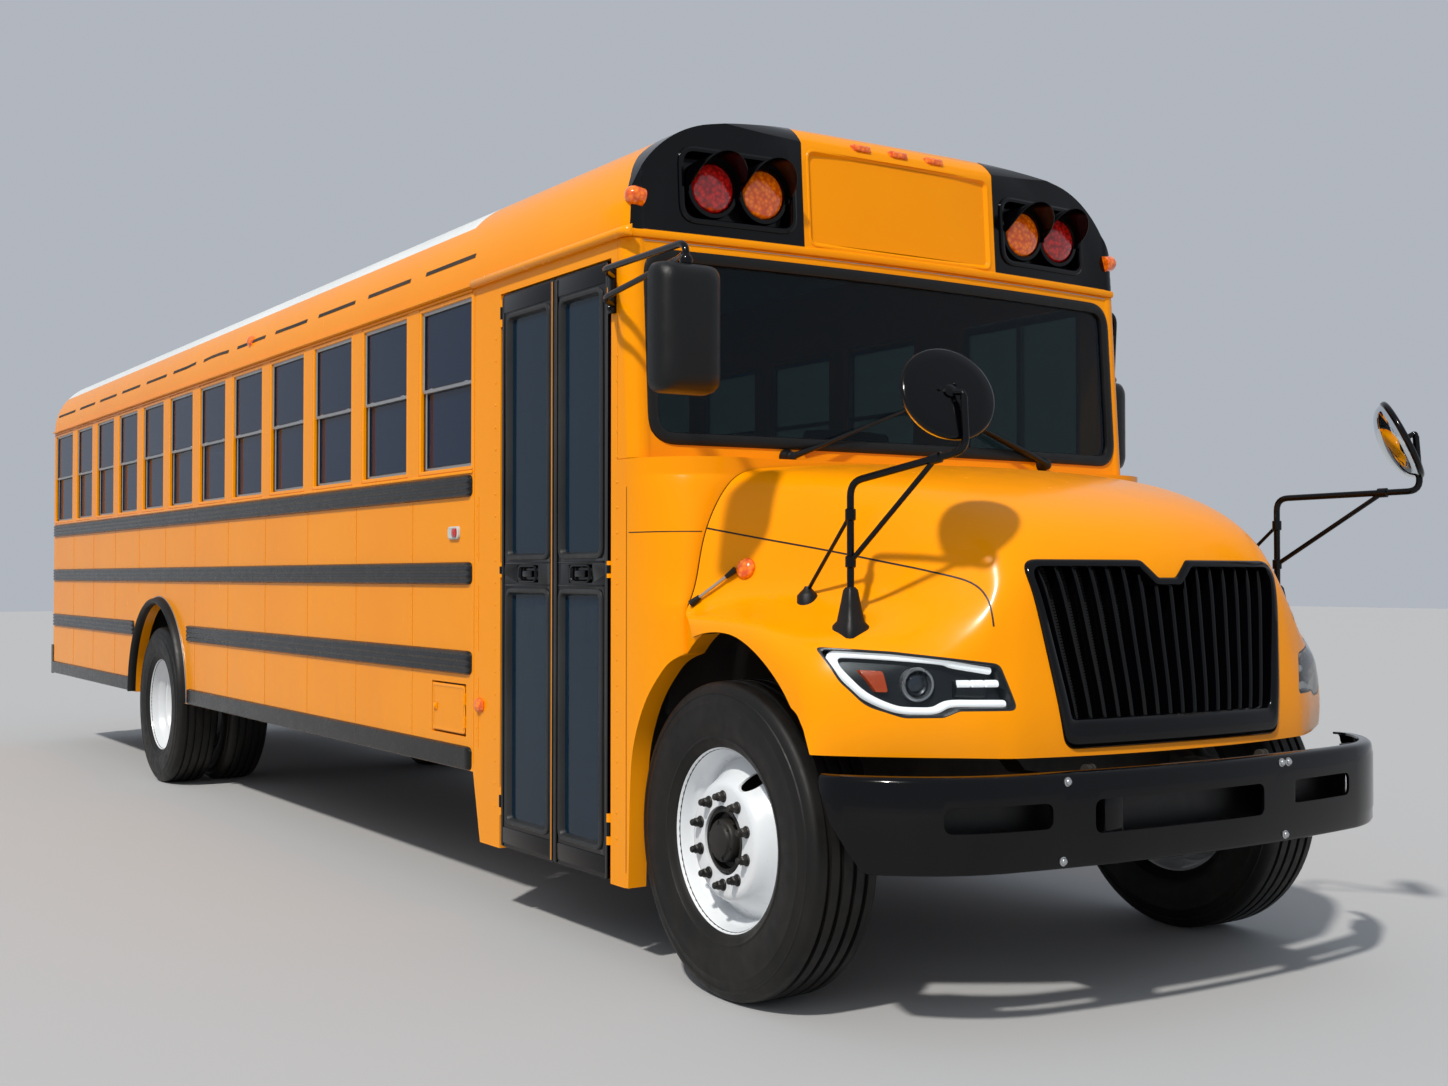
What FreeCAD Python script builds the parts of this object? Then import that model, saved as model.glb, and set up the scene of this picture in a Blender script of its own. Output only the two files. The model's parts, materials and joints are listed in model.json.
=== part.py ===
"""Conventional school bus: hollow body on a ladder frame, tilting hood, folding doors and steered wheels.

Units are millimetres.  +Z is up, the front faces -Y and the entry door is on the -X side.
Stations (y) are measured rearward from the front axle while modelling; save() moves every piece
so that the origin lies on the ground below the middle of the bus.
"""
import FreeCAD
import Part
import math
import os
from FreeCAD import Vector as V

os.makedirs("parts", exist_ok=True)

# ---- overall -------------------------------------------------------------------------------
FRONT_OVERHANG = 1010        # front axle to bumper face
WHEELBASE = 6850
REAR_OVERHANG = 3550         # rear axle to rear bumper face
WIDTH = 2438
ROOF_TOP = 3103
SKIRT_Z = 565                # lower edge of the side walls
HALF = WIDTH / 2
LENGTH = FRONT_OVERHANG + WHEELBASE + REAR_OVERHANG
AXLE_Y = FRONT_OVERHANG - LENGTH / 2

# ---- body shell ----------------------------------------------------------------------------
WALL_T = 60                  # whole side wall, skin to lining
ROOF_T = 45
SKIN_T = 12                  # moulded front panels
FLOOR_TOP = 1000
FLOOR_T = 60
SILL_T = 46                  # cross sills between floor and frame
WALL_TOP = 2600
ROOF_CROWN_R = 4750
ROOF_SHOULDER_R = 430
PILLAR_Y = 540               # front edge of the side walls
REAR_WALL_T = 60
BODY_REAR_Y = WHEELBASE + REAR_OVERHANG - 60
CAP_BACK_Y = 760             # seam between front cap and roof
COWL_TOP = 1789
CAP_BOTTOM = 2578
FIREWALL_Y = 440
FIREWALL_T = 30
FACE_Y = 428                 # body front at the cowl, on the centre line
FACE_LEAN = 50               # how far the front leans back up to the cap
FACE_BOW = 60                # how far the front curves back at its corners
CORNER = 75
PILLAR_TOP_Y = 600           # seam between side wall and windshield surround

# ---- side windows --------------------------------------------------------------------------
WINDOW_Y = 1828
WINDOW_PITCH = 705
WINDOW_W = 578
WINDOW_LAST_W = 690
WINDOW_END = 60              # least wall behind the last window
WINDOW_COUNT = int((BODY_REAR_Y - WINDOW_END - WINDOW_LAST_W - WINDOW_Y) // WINDOW_PITCH) + 1
SILL_Z = 1820
WINDOW_H = 745
SASH_Z = 2198
FRAME_W = 26
FRAME_D = 46
GLASS_T = 6

# ---- entry door ----------------------------------------------------------------------------
DOOR_Y0, DOOR_Y1 = 645, 1560
DOOR_Z0, DOOR_Z1 = 296, 2515
DOOR_LOW_SKIRT = 284
DOOR_STEP_Y = 1815
LEAF_T = 36
HINGE_GAP = 14               # hinge centre to leaf, and hinge centre to post
HINGE_R = 8.5
MEET_GAP = 12
PIN_GAP = 0.3

# ---- bumpers -------------------------------------------------------------------------------
BUMPER_Z0, BUMPER_Z1, BUMPER_T = 514, 797, 12
BUMPER_LIP = 40
RB_Z0, RB_Z1, RB_T = 560, 800, 8

# ---- wheels --------------------------------------------------------------------------------
TYRE_R = 518
TYRE_W = 279
RIM_R = 300
FRONT_TRACK_X = 1045
KINGPIN_X = 930
DUAL_OUT_X = 1092
DUAL_IN_X = 762
AXLE_Z = TYRE_R

# ---- frame ---------------------------------------------------------------------------------
RAIL_OUT_X = 438
RAIL_FLANGE = 76
RAIL_WEB = 9
RAIL_TOP = FLOOR_TOP - FLOOR_T - SILL_T
RAIL_H = 254
RAIL_BOTTOM = RAIL_TOP - RAIL_H
NOSE_TOP = 750               # dropped front end of the rails
NOSE_BOTTOM = 540
RAIL_Y0 = -905
RAIL_Y1 = BODY_REAR_Y

# ---- rear wheel arch -----------------------------------------------------------------------
ARCH_R = TYRE_R + 110
ARCH_TOP = 1192
WELL_T = 12
WELL_X = 590

# ---- hood ----------------------------------------------------------------------------------
HOOD_REAR_Y = 252
HOOD_GAP = 8
HOOD_BOTTOM = 828
HOOD_PIVOT_Y, HOOD_PIVOT_Z = -878, 786
HOOD_PIN_R = 12
LUG_X, LUG_T = RAIL_OUT_X - RAIL_FLANGE / 2, 16
FRONT_ARCH_Y, FRONT_ARCH_Z, FRONT_ARCH_R = -60, AXLE_Z + 116, TYRE_R + 50
GRILLE_TOP_X, GRILLE_BOTTOM_X = 565, 470
GRILLE_TOP, GRILLE_BOTTOM = 1418, 868
GRILLE_BARS = 16

NODES = []


# ---- helpers -------------------------------------------------------------------------------
def box(x0, x1, y0, y1, z0, z1):
    return Part.makeBox(x1 - x0, y1 - y0, z1 - z0, V(x0, y0, z0))


def wire(points):
    """Closed wire through (point) or (middle, end) entries: a pair makes an arc."""
    edges = []
    start = points[0]
    last = start
    for item in list(points[1:]) + [start]:
        if isinstance(item, tuple):
            edges.append(Part.Arc(last, item[0], item[1]).toShape())
            last = item[1]
        elif (item - last).Length > 1e-6:
            edges.append(Part.LineSegment(last, item).toShape())
            last = item
    return Part.Wire(edges)


def prism(points, direction):
    return Part.Face(wire(points)).extrude(direction)


def side(points, x0, x1):
    """Prism across the bus from (y, z) points; ((y, z), (y, z)) is an arc."""
    def lift(p):
        return tuple(lift(q) for q in p) if isinstance(p[0], tuple) else V(x0, p[0], p[1])
    return prism([lift(p) for p in points], V(x1 - x0, 0, 0))


def cross(points, y0, y1):
    """Prism along the bus from (x, z) points."""
    def lift(p):
        return tuple(lift(q) for q in p) if isinstance(p[0], tuple) else V(p[0], y0, p[1])
    return prism([lift(p) for p in points], V(0, y1 - y0, 0))


def plan(points, z0, z1):
    """Upright prism from (x, y) points."""
    def lift(p):
        return tuple(lift(q) for q in p) if isinstance(p[0], tuple) else V(p[0], p[1], z0)
    return prism([lift(p) for p in points], V(0, 0, z1 - z0))


def rod(start, end, radius):
    start, end = V(*start), V(*end)
    return Part.makeCylinder(radius, (end - start).Length, start, end - start)


def bar(points, radius, sides=6):
    """Bar of a regular section along straight runs with mitred corners; sides 0 makes it round."""
    pts = [V(*p) for p in points]
    path = Part.Wire([Part.LineSegment(a, b).toShape() for a, b in zip(pts, pts[1:])])
    run = (pts[1] - pts[0]).normalize()
    if sides:
        across = run.cross(V(0, 0, 1) if abs(run.z) < 0.9 else V(1, 0, 0)).normalize() * radius
        turn = FreeCAD.Rotation(run, 360 / sides)
        ring = [pts[0] + across]
        for _ in range(sides - 1):
            ring.append(pts[0] + turn.multVec(ring[-1] - pts[0]))
        section = wire(ring)
    else:
        section = Part.Wire(Part.Circle(pts[0], run, radius).toShape())
    return path.makePipeShell([section], True, False, 1)


def mirror(shape):
    return shape.mirror(V(0, 0, 0), V(1, 0, 0))


def both(shape):
    return [shape, mirror(shape)]


def fuse(shapes):
    first, rest = shapes[0], shapes[1:]
    return (first.multiFuse(rest) if rest else first).removeSplitter()


def save(name, shapes):
    shapes = shapes if isinstance(shapes, list) else [shapes]
    solids = [s for shape in shapes for s in shape.Solids]
    piece = Part.makeCompound(solids) if len(solids) > 1 else solids[0]
    piece = piece.translated(V(0, AXLE_Y, 0))
    piece.exportStep(f"parts/{name}.step")
    NODES.append(name)


def hinge(x, y, levels, fixed_to, moving_to):
    """Upright hinge at (x, y): knuckles between the levels, fixed first, on tabs to two corners."""
    fixed, moving = [], []
    for index, (z0, z1) in enumerate(zip(levels, levels[1:])):
        low = z0 + (PIN_GAP if index else 0)
        corner = moving_to if index % 2 else fixed_to
        tab = box(min(x, corner[0]), max(x, corner[0]), min(y, corner[1]), max(y, corner[1]), low, z1)
        knuckle = rod((x, y, low), (x, y, z1), HINGE_R)
        (moving if index % 2 else fixed).append(fuse([knuckle, tab]))
    return fixed, moving


# ---- body section --------------------------------------------------------------------------
def roof_points(inset):
    """Half-round roof outline from the left wall over to the right wall."""
    shoulder = ROOF_SHOULDER_R - inset
    crown = ROOF_CROWN_R - inset
    shoulder_x = HALF - ROOF_SHOULDER_R
    tilt = math.asin(shoulder_x / (ROOF_CROWN_R - ROOF_SHOULDER_R))
    top = (0, WALL_TOP + crown - (ROOF_CROWN_R - ROOF_SHOULDER_R) * math.cos(tilt))
    edge_x = shoulder_x + shoulder * math.sin(tilt)
    edge_z = WALL_TOP + shoulder * math.cos(tilt)
    mid = math.pi / 4 - tilt / 2
    mid_x = shoulder_x + shoulder * math.cos(mid)
    mid_z = WALL_TOP + shoulder * math.sin(mid)
    wall_x = HALF - inset
    return [(wall_x, WALL_TOP), ((mid_x, mid_z), (edge_x, edge_z)), (top, (-edge_x, edge_z)),
            ((-mid_x, mid_z), (-wall_x, WALL_TOP))]


def body_block(inset, y0, y1, z0):
    points = roof_points(inset)
    wall_x = HALF - inset
    return cross([(wall_x, z0)] + points + [(-wall_x, z0)], y0, y1)


def face_wire(inset, z, y_back):
    """Bowed plan outline of the body front at height z."""
    y = FACE_Y + FACE_LEAN * (z - COWL_TOP) / (CAP_BOTTOM - COWL_TOP) + inset
    x = HALF - inset
    bow = HALF - CORNER
    points = [V(x, y_back, z), V(x, y + FACE_BOW + 50, z),
              (V(x - 14, y + FACE_BOW + 16, z), V(bow, y + FACE_BOW, z)),
              (V(0, y, z), V(-bow, y + FACE_BOW, z)),
              (V(14 - x, y + FACE_BOW + 16, z), V(-x, y + FACE_BOW + 50, z)), V(-x, y_back, z)]
    return wire(points)


def face_block(inset, z0, z1, y_back):
    return Part.makeLoft([face_wire(inset, z0, y_back), face_wire(inset, z1, y_back)], True, True)


# ---- side walls ----------------------------------------------------------------------------
def window_bays():
    for index in range(WINDOW_COUNT):
        y0 = WINDOW_Y + index * WINDOW_PITCH
        yield y0, y0 + (WINDOW_LAST_W if index == WINDOW_COUNT - 1 else WINDOW_W)


def arch_block(x0, x1, grow=0):
    r = ARCH_R + grow
    centre = ARCH_TOP - ARCH_R
    low = SKIRT_Z - 100
    return side([(WHEELBASE - r, low), (WHEELBASE - r, centre),
                 ((WHEELBASE, centre + r), (WHEELBASE + r, centre)), (WHEELBASE + r, low)], x0, x1)


HATCH_Y0, HATCH_Y1, HATCH_Z0, HATCH_Z1 = 1886, 2246, 703, 923
DRIVER_WIN_Y0, DRIVER_WIN_Y1 = 700, 1500
FLAP_T = 14


def side_wall(right):
    low = DOOR_LOW_SKIRT if right else SKIRT_Z
    outline = [(PILLAR_Y, low), (PILLAR_Y, COWL_TOP), (PILLAR_TOP_Y, COWL_TOP), (PILLAR_TOP_Y, WALL_TOP),
               (BODY_REAR_Y - REAR_WALL_T, WALL_TOP), (BODY_REAR_Y - REAR_WALL_T, SKIRT_Z), (DOOR_STEP_Y, SKIRT_Z)]
    if right:
        outline += [(DOOR_STEP_Y - 70, low)]
    wall = side(outline, HALF - WALL_T, HALF)
    cuts = [box(HALF - 2 * WALL_T, HALF + 9, y0, y1, SILL_Z, SILL_Z + WINDOW_H) for y0, y1 in window_bays()]
    cuts.append(arch_block(HALF - 2 * WALL_T, HALF + 9))
    if right:
        cuts.append(box(HALF - 2 * WALL_T, HALF + 9, DOOR_Y0, DOOR_Y1, 0, DOOR_Z1))
        cuts.append(box(HALF - 2 * WALL_T, HALF + 9, HATCH_Y0, HATCH_Y1, HATCH_Z0, HATCH_Z1))
    else:
        cuts.append(box(HALF - 2 * WALL_T, HALF + 9, DRIVER_WIN_Y0, DRIVER_WIN_Y1, SILL_Z - 60,
                        SILL_Z + WINDOW_H))
    return wall.cut(cuts)


def leaf(y0, y1, x_out):
    """One entry door leaf with an upper and a lower light and a handle recess between them."""
    z0, z1 = DOOR_Z0, DOOR_Z1 - 8
    frame = box(x_out, x_out + LEAF_T, y0, y1, z0, z1)
    rim = 48
    for low, high in ((z0 + 109, 1314), (1455, z1 - 97)):
        frame = frame.cut(box(x_out - 5, x_out + LEAF_T + 5, y0 + rim, y1 - rim, low, high))
    glass = [box(x_out + 14, x_out + 14 + GLASS_T, y0 + rim, y1 - rim, low, high)
             for low, high in ((z0 + 109, 1314), (1455, z1 - 97))]
    recess = box(x_out - 5, x_out + 12, (y0 + y1) / 2 - 90, (y0 + y1) / 2 + 90, 1352, 1418)
    return frame.cut(recess), glass


right_wall = mirror(side_wall(True))
left_wall = side_wall(False)

door_mid = 1084
front_leaf, front_glass = leaf(DOOR_Y0 + 2 * HINGE_GAP, door_mid - MEET_GAP / 2, -HALF)
rear_leaf, rear_glass = leaf(door_mid + MEET_GAP / 2, DOOR_Y1 - 2 * HINGE_GAP, -HALF)
DOOR_HINGES = ((420, 450, 500, 530), (1370, 1385, 1415, 1430), (2380, 2410, 2460, 2490))
FRONT_HINGE_Y = DOOR_Y0 + HINGE_GAP
REAR_HINGE_Y = DOOR_Y1 - HINGE_GAP
for levels in DOOR_HINGES:
    fixed, moving = hinge(-HALF, FRONT_HINGE_Y, levels, (-HALF + 8, DOOR_Y0),
                          (-HALF + 8, DOOR_Y0 + 2 * HINGE_GAP))
    right_wall = fuse([right_wall] + fixed)
    front_leaf = fuse([front_leaf] + moving)
    fixed, moving = hinge(-HALF, REAR_HINGE_Y, levels, (-HALF + 8, DOOR_Y1),
                          (-HALF + 8, DOOR_Y1 - 2 * HINGE_GAP))
    right_wall = fuse([right_wall] + fixed)
    rear_leaf = fuse([rear_leaf] + moving)

# battery hatch in the right skirt
HATCH_HINGE_Y = HATCH_Y0 + HINGE_GAP
hatch = box(-HALF, -HALF + FLAP_T, HATCH_Y0 + 2 * HINGE_GAP, HATCH_Y1 - 8, HATCH_Z0 + 8, HATCH_Z1 - 8)
for levels in ((740, 755, 775, 790), (836, 851, 871, 886)):
    fixed, moving = hinge(-HALF, HATCH_HINGE_Y, levels, (-HALF + 8, HATCH_Y0),
                          (-HALF + 8, HATCH_Y0 + 2 * HINGE_GAP))
    right_wall = fuse([right_wall] + fixed)
    hatch = fuse([hatch] + moving)

# stop arm on the left side, folded back against the wall
STOP_HINGE_X, STOP_HINGE_Y = HALF + 40, 1010
STOP_Z, STOP_R = 1515, 225
half_side = STOP_R * math.tan(math.pi / 8)
stop_y = STOP_HINGE_Y + 60 + STOP_R
octagon = []
for sy, sz in ((-1, -1), (1, -1), (1, 1), (-1, 1)):
    first, second = (sy * STOP_R, sz * half_side), (sy * half_side, sz * STOP_R)
    pair = (first, second) if sy == sz else (second, first)
    octagon += [(stop_y + p[0], STOP_Z + p[1]) for p in pair]
blade = side(octagon, HALF + 32, HALF + 40)
arm = fuse([blade, box(HALF + 32, HALF + 48, STOP_HINGE_Y + HINGE_GAP, stop_y + 60, STOP_Z - 40, STOP_Z + 40)])
stop_base = box(HALF, HALF + 24, STOP_HINGE_Y - 70, STOP_HINGE_Y + 30, STOP_Z - 110, STOP_Z + 110)
base_lugs = [box(HALF + 20, STOP_HINGE_X, STOP_HINGE_Y - 8, STOP_HINGE_Y + 8, z0, z1)
             for z0, z1 in ((STOP_Z - 90, STOP_Z - 40), (STOP_Z + 40, STOP_Z + 90))]
base_lugs += [rod((STOP_HINGE_X, STOP_HINGE_Y, z0), (STOP_HINGE_X, STOP_HINGE_Y, z1), HINGE_R)
              for z0, z1 in ((STOP_Z - 90, STOP_Z - 40), (STOP_Z + 40, STOP_Z + 90))]
stop_base = fuse([stop_base] + base_lugs)
barrel_z0, barrel_z1 = STOP_Z - 40 + PIN_GAP, STOP_Z + 40 - PIN_GAP
barrel = rod((STOP_HINGE_X, STOP_HINGE_Y, barrel_z0), (STOP_HINGE_X, STOP_HINGE_Y, barrel_z1), HINGE_R)
bridge = box(STOP_HINGE_X - 6, STOP_HINGE_X + 6, STOP_HINGE_Y, STOP_HINGE_Y + HINGE_GAP + 4, barrel_z0, barrel_z1)
arm = fuse([arm, barrel, bridge])
left_wall = fuse([left_wall, stop_base])
save("stop_arm", arm)

DRIP_Z = 2588
drip = cross([(HALF - 5, DRIP_Z - 12), (HALF + 22, DRIP_Z - 5), (HALF + 22, DRIP_Z + 5), (HALF - 5, DRIP_Z + 10)],
             PILLAR_TOP_Y, BODY_REAR_Y - REAR_WALL_T)
save("right_side_wall", fuse([right_wall, mirror(drip)]))
save("left_side_wall", fuse([left_wall, drip]))
save("entry_door_front_leaf", front_leaf)
save("entry_door_rear_leaf", rear_leaf)
save("entry_door_front_glass", front_glass)
save("entry_door_rear_glass", rear_glass)
save("battery_hatch", hatch)


# ---- roof, cap, windshield -----------------------------------------------------------------
roof = body_block(0, CAP_BACK_Y, BODY_REAR_Y - REAR_WALL_T, WALL_TOP).cut(
    body_block(ROOF_T, CAP_BACK_Y - 10, BODY_REAR_Y, WALL_TOP - 10))
save("roof", roof)

CAP_NOSE_R = 220


def cap_block(inset):
    nose = side([(FACE_Y - 100, 2000), (FACE_Y - 100, ROOF_TOP - CAP_NOSE_R - inset + 30),
                 (FACE_Y + FACE_LEAN + inset, ROOF_TOP - CAP_NOSE_R - inset),
                 ((FACE_Y + FACE_LEAN + inset + 0.29 * CAP_NOSE_R, ROOF_TOP - inset - 0.29 * CAP_NOSE_R),
                  (FACE_Y + FACE_LEAN + inset + CAP_NOSE_R, ROOF_TOP - inset)),
                 (CAP_BACK_Y + 50, ROOF_TOP - inset + 2), (CAP_BACK_Y + 50, 2000)], -HALF - 5, HALF + 5)
    front = face_block(inset, 2000, ROOF_TOP + 40, CAP_BACK_Y + 50)
    return front.common(body_block(inset, 300, CAP_BACK_Y + 50, 2000)).common(nose)


cap_t = 30
cap_solid = cap_block(0).cut(cap_block(cap_t))
cap = cap_solid.common(box(-HALF - 9, HALF + 9, 300, CAP_BACK_Y, CAP_BOTTOM, ROOF_TOP + 60))
header_cut = box(-HALF - 9, HALF + 9, PILLAR_TOP_Y, CAP_BACK_Y + 60, 2000, WALL_TOP)
save("front_cap", cap.cut(header_cut))

surround_t = 40
surround = face_block(0, COWL_TOP, CAP_BOTTOM, 800).cut(face_block(surround_t, COWL_TOP - 20, CAP_BOTTOM + 20, 810))
surround = surround.common(box(-HALF - 9, HALF + 9, 300, PILLAR_TOP_Y, COWL_TOP, CAP_BOTTOM))
WS_X, WS_Z0, WS_Z1, WS_R = 1136, 1862, 2524, 90


def rounded(x, z0, z1, r, y0, y1):
    q = r * (1 - math.sqrt(0.5))
    return cross([(x - r, z0), ((x - q, z0 + q), (x, z0 + r)), (x, z1 - r), ((x - q, z1 - q), (x - r, z1)),
                  (r - x, z1), ((q - x, z1 - q), (-x, z1 - r)), (-x, z0 + r), ((q - x, z0 + q), (r - x, z0))],
                 y0, y1)


opening = rounded(WS_X, WS_Z0, WS_Z1, WS_R, 300, 700)
save("windshield_surround", surround.cut(opening))
glass_skin = face_block(14, COWL_TOP, CAP_BOTTOM, 800).cut(face_block(22, COWL_TOP - 20, CAP_BOTTOM + 20, 810))
save("windshield", glass_skin.common(rounded(WS_X, WS_Z0, WS_Z1, WS_R, 300, 700)))

# ---- windows -------------------------------------------------------------------------------
frames, panes = [], []
frame_x1 = HALF - 6
frame_x0 = frame_x1 - FRAME_D
for y0, y1 in window_bays():
    z0, z1 = SILL_Z, SILL_Z + WINDOW_H
    ring = box(frame_x0, frame_x1, y0, y1, z0, z1)
    upper = (y0 + FRAME_W, y1 - FRAME_W, SASH_Z + FRAME_W / 2, z1 - FRAME_W)
    lower = (y0 + FRAME_W, y1 - FRAME_W, z0 + FRAME_W, SASH_Z - FRAME_W / 2)
    for light in (upper, lower):
        ring = ring.cut(box(frame_x0 - 5, frame_x1 + 5, *light))
        panes += both(box(frame_x1 - 24, frame_x1 - 24 + GLASS_T, *light))
    frames += both(ring)
drv = (DRIVER_WIN_Y0, DRIVER_WIN_Y1, SILL_Z - 60, SILL_Z + WINDOW_H)
drv_in = (DRIVER_WIN_Y0 + FRAME_W, DRIVER_WIN_Y1 - FRAME_W, SILL_Z - 60 + FRAME_W, SILL_Z + WINDOW_H - FRAME_W)
drv_ring = box(frame_x0, frame_x1, *drv).cut(box(frame_x0 - 5, frame_x1 + 5, *drv_in))
drv_post = box(frame_x0, frame_x1, 1087, 1087 + FRAME_W, drv_in[2], drv_in[3])
frames.append(fuse([drv_ring, drv_post]))
panes.append(box(frame_x1 - 24, frame_x1 - 18, drv_in[0], 1087, drv_in[2], drv_in[3]))
panes.append(box(frame_x1 - 24, frame_x1 - 18, 1087 + FRAME_W, drv_in[1], drv_in[2], drv_in[3]))
save("window_frames", frames)

# ---- rear wall and emergency door ----------------------------------------------------------
RDOOR_X, RDOOR_Z0, RDOOR_Z1 = 460, 1012, 2480
REAR_EDGE_R = 45
rear_y0 = BODY_REAR_Y - REAR_WALL_T
rear = body_block(0, rear_y0, BODY_REAR_Y, RB_Z1)
rim_edges = [e for e in rear.Edges if e.BoundBox.YMin > BODY_REAR_Y - 1 and e.BoundBox.ZMax > RB_Z1 + 1]
rear = rear.makeFillet(REAR_EDGE_R, rim_edges)
rear = rear.cut(box(-RAIL_OUT_X, RAIL_OUT_X, rear_y0 - 9, BODY_REAR_Y + 9, RB_Z1 - 9, RAIL_TOP))
rear = rear.cut(box(-RDOOR_X, RDOOR_X, rear_y0 - 9, BODY_REAR_Y + 9, RDOOR_Z0, RDOOR_Z1))
REAR_WINDOWS = ((-1130, -560, 1640, 2420), (560, 1130, 1640, 2420))
rear_glass_panes = []
for x0, x1, z0, z1 in REAR_WINDOWS:
    rear = rear.cut(box(x0, x1, rear_y0 - 9, BODY_REAR_Y + 9, z0, z1))
    rear_glass_panes.append(box(x0, x1, BODY_REAR_Y - 30, BODY_REAR_Y - 30 + GLASS_T, z0, z1))
rdoor = box(-RDOOR_X + 2 * HINGE_GAP, RDOOR_X - 8, BODY_REAR_Y - LEAF_T, BODY_REAR_Y, RDOOR_Z0 + 8, RDOOR_Z1 - 8)
rdoor_lights = ((-330, 350, 1700, 2380), (-330, 350, 1150, 1560))
rdoor_glass = []
for x0, x1, z0, z1 in rdoor_lights:
    rdoor = rdoor.cut(box(x0, x1, BODY_REAR_Y - 90, BODY_REAR_Y + 9, z0, z1))
    rdoor_glass.append(box(x0, x1, BODY_REAR_Y - 24, BODY_REAR_Y - 24 + GLASS_T, z0, z1))
RHINGE_X = -RDOOR_X + HINGE_GAP
for levels in ((1120, 1150, 1200, 1230), (1700, 1730, 1780, 1810), (2280, 2310, 2360, 2390)):
    fixed, moving = hinge(RHINGE_X, BODY_REAR_Y, levels, (-RDOOR_X, BODY_REAR_Y - 8),
                          (-RDOOR_X + 2 * HINGE_GAP, BODY_REAR_Y - 8))
    rear = fuse([rear] + fixed)
    rdoor = fuse([rdoor] + moving)
save("rear_wall", rear)
save("window_glass", panes + rear_glass_panes)
save("rear_door", rdoor)
save("rear_door_glass", rdoor_glass)

# ---- rails and trims -----------------------------------------------------------------------
RAIL_PROUD = 16


def rub_rail(z0, z1, y0, y1):
    mid = (z0 + z1) / 2
    lip = 12
    return cross([(HALF, z0), (HALF + RAIL_PROUD - 4, z0 + 8), (HALF + RAIL_PROUD, z0 + 8 + lip),
                  (HALF + RAIL_PROUD - 6, mid), (HALF + RAIL_PROUD, z1 - 8 - lip),
                  (HALF + RAIL_PROUD - 4, z1 - 8), (HALF, z1)], y0, y1)


RAIL_START, RAIL_END = WINDOW_Y, BODY_REAR_Y - REAR_WALL_T - 1
RAILS = ((1708, 1801, RAIL_START, RAIL_END), (1340, 1436, RAIL_START, RAIL_END),
         (963, 1064, RAIL_START, WHEELBASE - ARCH_R - 50), (963, 1064, WHEELBASE + ARCH_R + 50, RAIL_END),
         (SKIRT_Z, 665, RAIL_START, WHEELBASE - ARCH_R - 80), (SKIRT_Z, 665, WHEELBASE + ARCH_R + 80, RAIL_END))
save("rub_rails", [s for row in RAILS for s in both(rub_rail(*row))])
TRIM_PROUD = 55
trim = arch_block(HALF, HALF + TRIM_PROUD, 46).cut(arch_block(HALF - 9, HALF + TRIM_PROUD + 9))
trim = trim.common(box(HALF, HALF + 200, WHEELBASE - 900, WHEELBASE + 900, SKIRT_Z, ARCH_TOP + 90))
save("wheel_arch_trims", both(trim))

# ---- floor, steps, wells -------------------------------------------------------------------
STEP_X = 570                 # inner edge of the step well
INNER_X = HALF - WALL_T
SILL_Y, SILL_PITCH, SILL_W = 600, 700, 60
floor = box(-INNER_X, INNER_X, FIREWALL_Y + FIREWALL_T, rear_y0, FLOOR_TOP - FLOOR_T, FLOOR_TOP)
sill_count = int((rear_y0 - SILL_W - SILL_Y) // SILL_PITCH) + 1
sills = []
for y in [SILL_Y + i * SILL_PITCH for i in range(sill_count)]:
    x = WELL_X - 20 if abs(y + SILL_W / 2 - WHEELBASE) < ARCH_R + SILL_W else INNER_X
    low = -STEP_X if DOOR_Y0 - 60 < y < DOOR_Y1 + 60 else -x
    sills.append(box(low, x, y, y + SILL_W, RAIL_TOP, FLOOR_TOP - FLOOR_T))
floor = floor.cut(box(-INNER_X - 5, -STEP_X, DOOR_Y0 + 5, DOOR_Y1 - 5, 0, FLOOR_TOP + 9))
well_y0, well_y1 = WHEELBASE - ARCH_R - WELL_T, WHEELBASE + ARCH_R + WELL_T
for sign in (-1, 1):
    x0, x1 = sorted((sign * WELL_X, sign * INNER_X))
    well = box(x0, x1, well_y0, well_y1, FLOOR_TOP - FLOOR_T - 200, ARCH_TOP + WELL_T)
    hollow_x = sorted((sign * (WELL_X + WELL_T), sign * (INNER_X + 50)))
    hollow = box(hollow_x[0], hollow_x[1], well_y0 + WELL_T, well_y1 - WELL_T, 0, ARCH_TOP)
    floor = floor.cut(box(x0, x1, well_y0, well_y1, 0, FLOOR_TOP + 9)).fuse(well.cut(hollow))
save("floor", fuse([floor] + sills))

STEP_Z = (380, 587, 794)
STEP_RUN = (INNER_X - STEP_X - 4) / 3
STEP_T = 30
steps = []
for index, z in enumerate(STEP_Z):
    x0 = -INNER_X if index == 0 else -INNER_X + index * STEP_RUN + 8
    x1 = -INNER_X + (index + 1) * STEP_RUN + (8 if index < 2 else 0)
    x1 = -STEP_X if index == 2 else x1
    steps.append(box(x0, x1, DOOR_Y0 + 5, DOOR_Y1 - 5, z - STEP_T, z))
    top = STEP_Z[index + 1] if index < 2 else FLOOR_TOP
    steps.append(box(x1 - 12, x1, DOOR_Y0 + 5, DOOR_Y1 - 5, z - STEP_T, top))
for y in (DOOR_Y0 + 5, DOOR_Y1 - 25):
    steps.append(box(-INNER_X, -STEP_X, y, y + 20, STEP_Z[0] - STEP_T, FLOOR_TOP - FLOOR_T))
save("entry_steps", fuse(steps))

# ---- cowl ----------------------------------------------------------------------------------
firewall = box(-HALF + WALL_T, HALF - WALL_T, FIREWALL_Y, FIREWALL_Y + FIREWALL_T, RAIL_TOP, COWL_TOP)
cowl_y0 = HOOD_REAR_Y + HOOD_GAP


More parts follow.
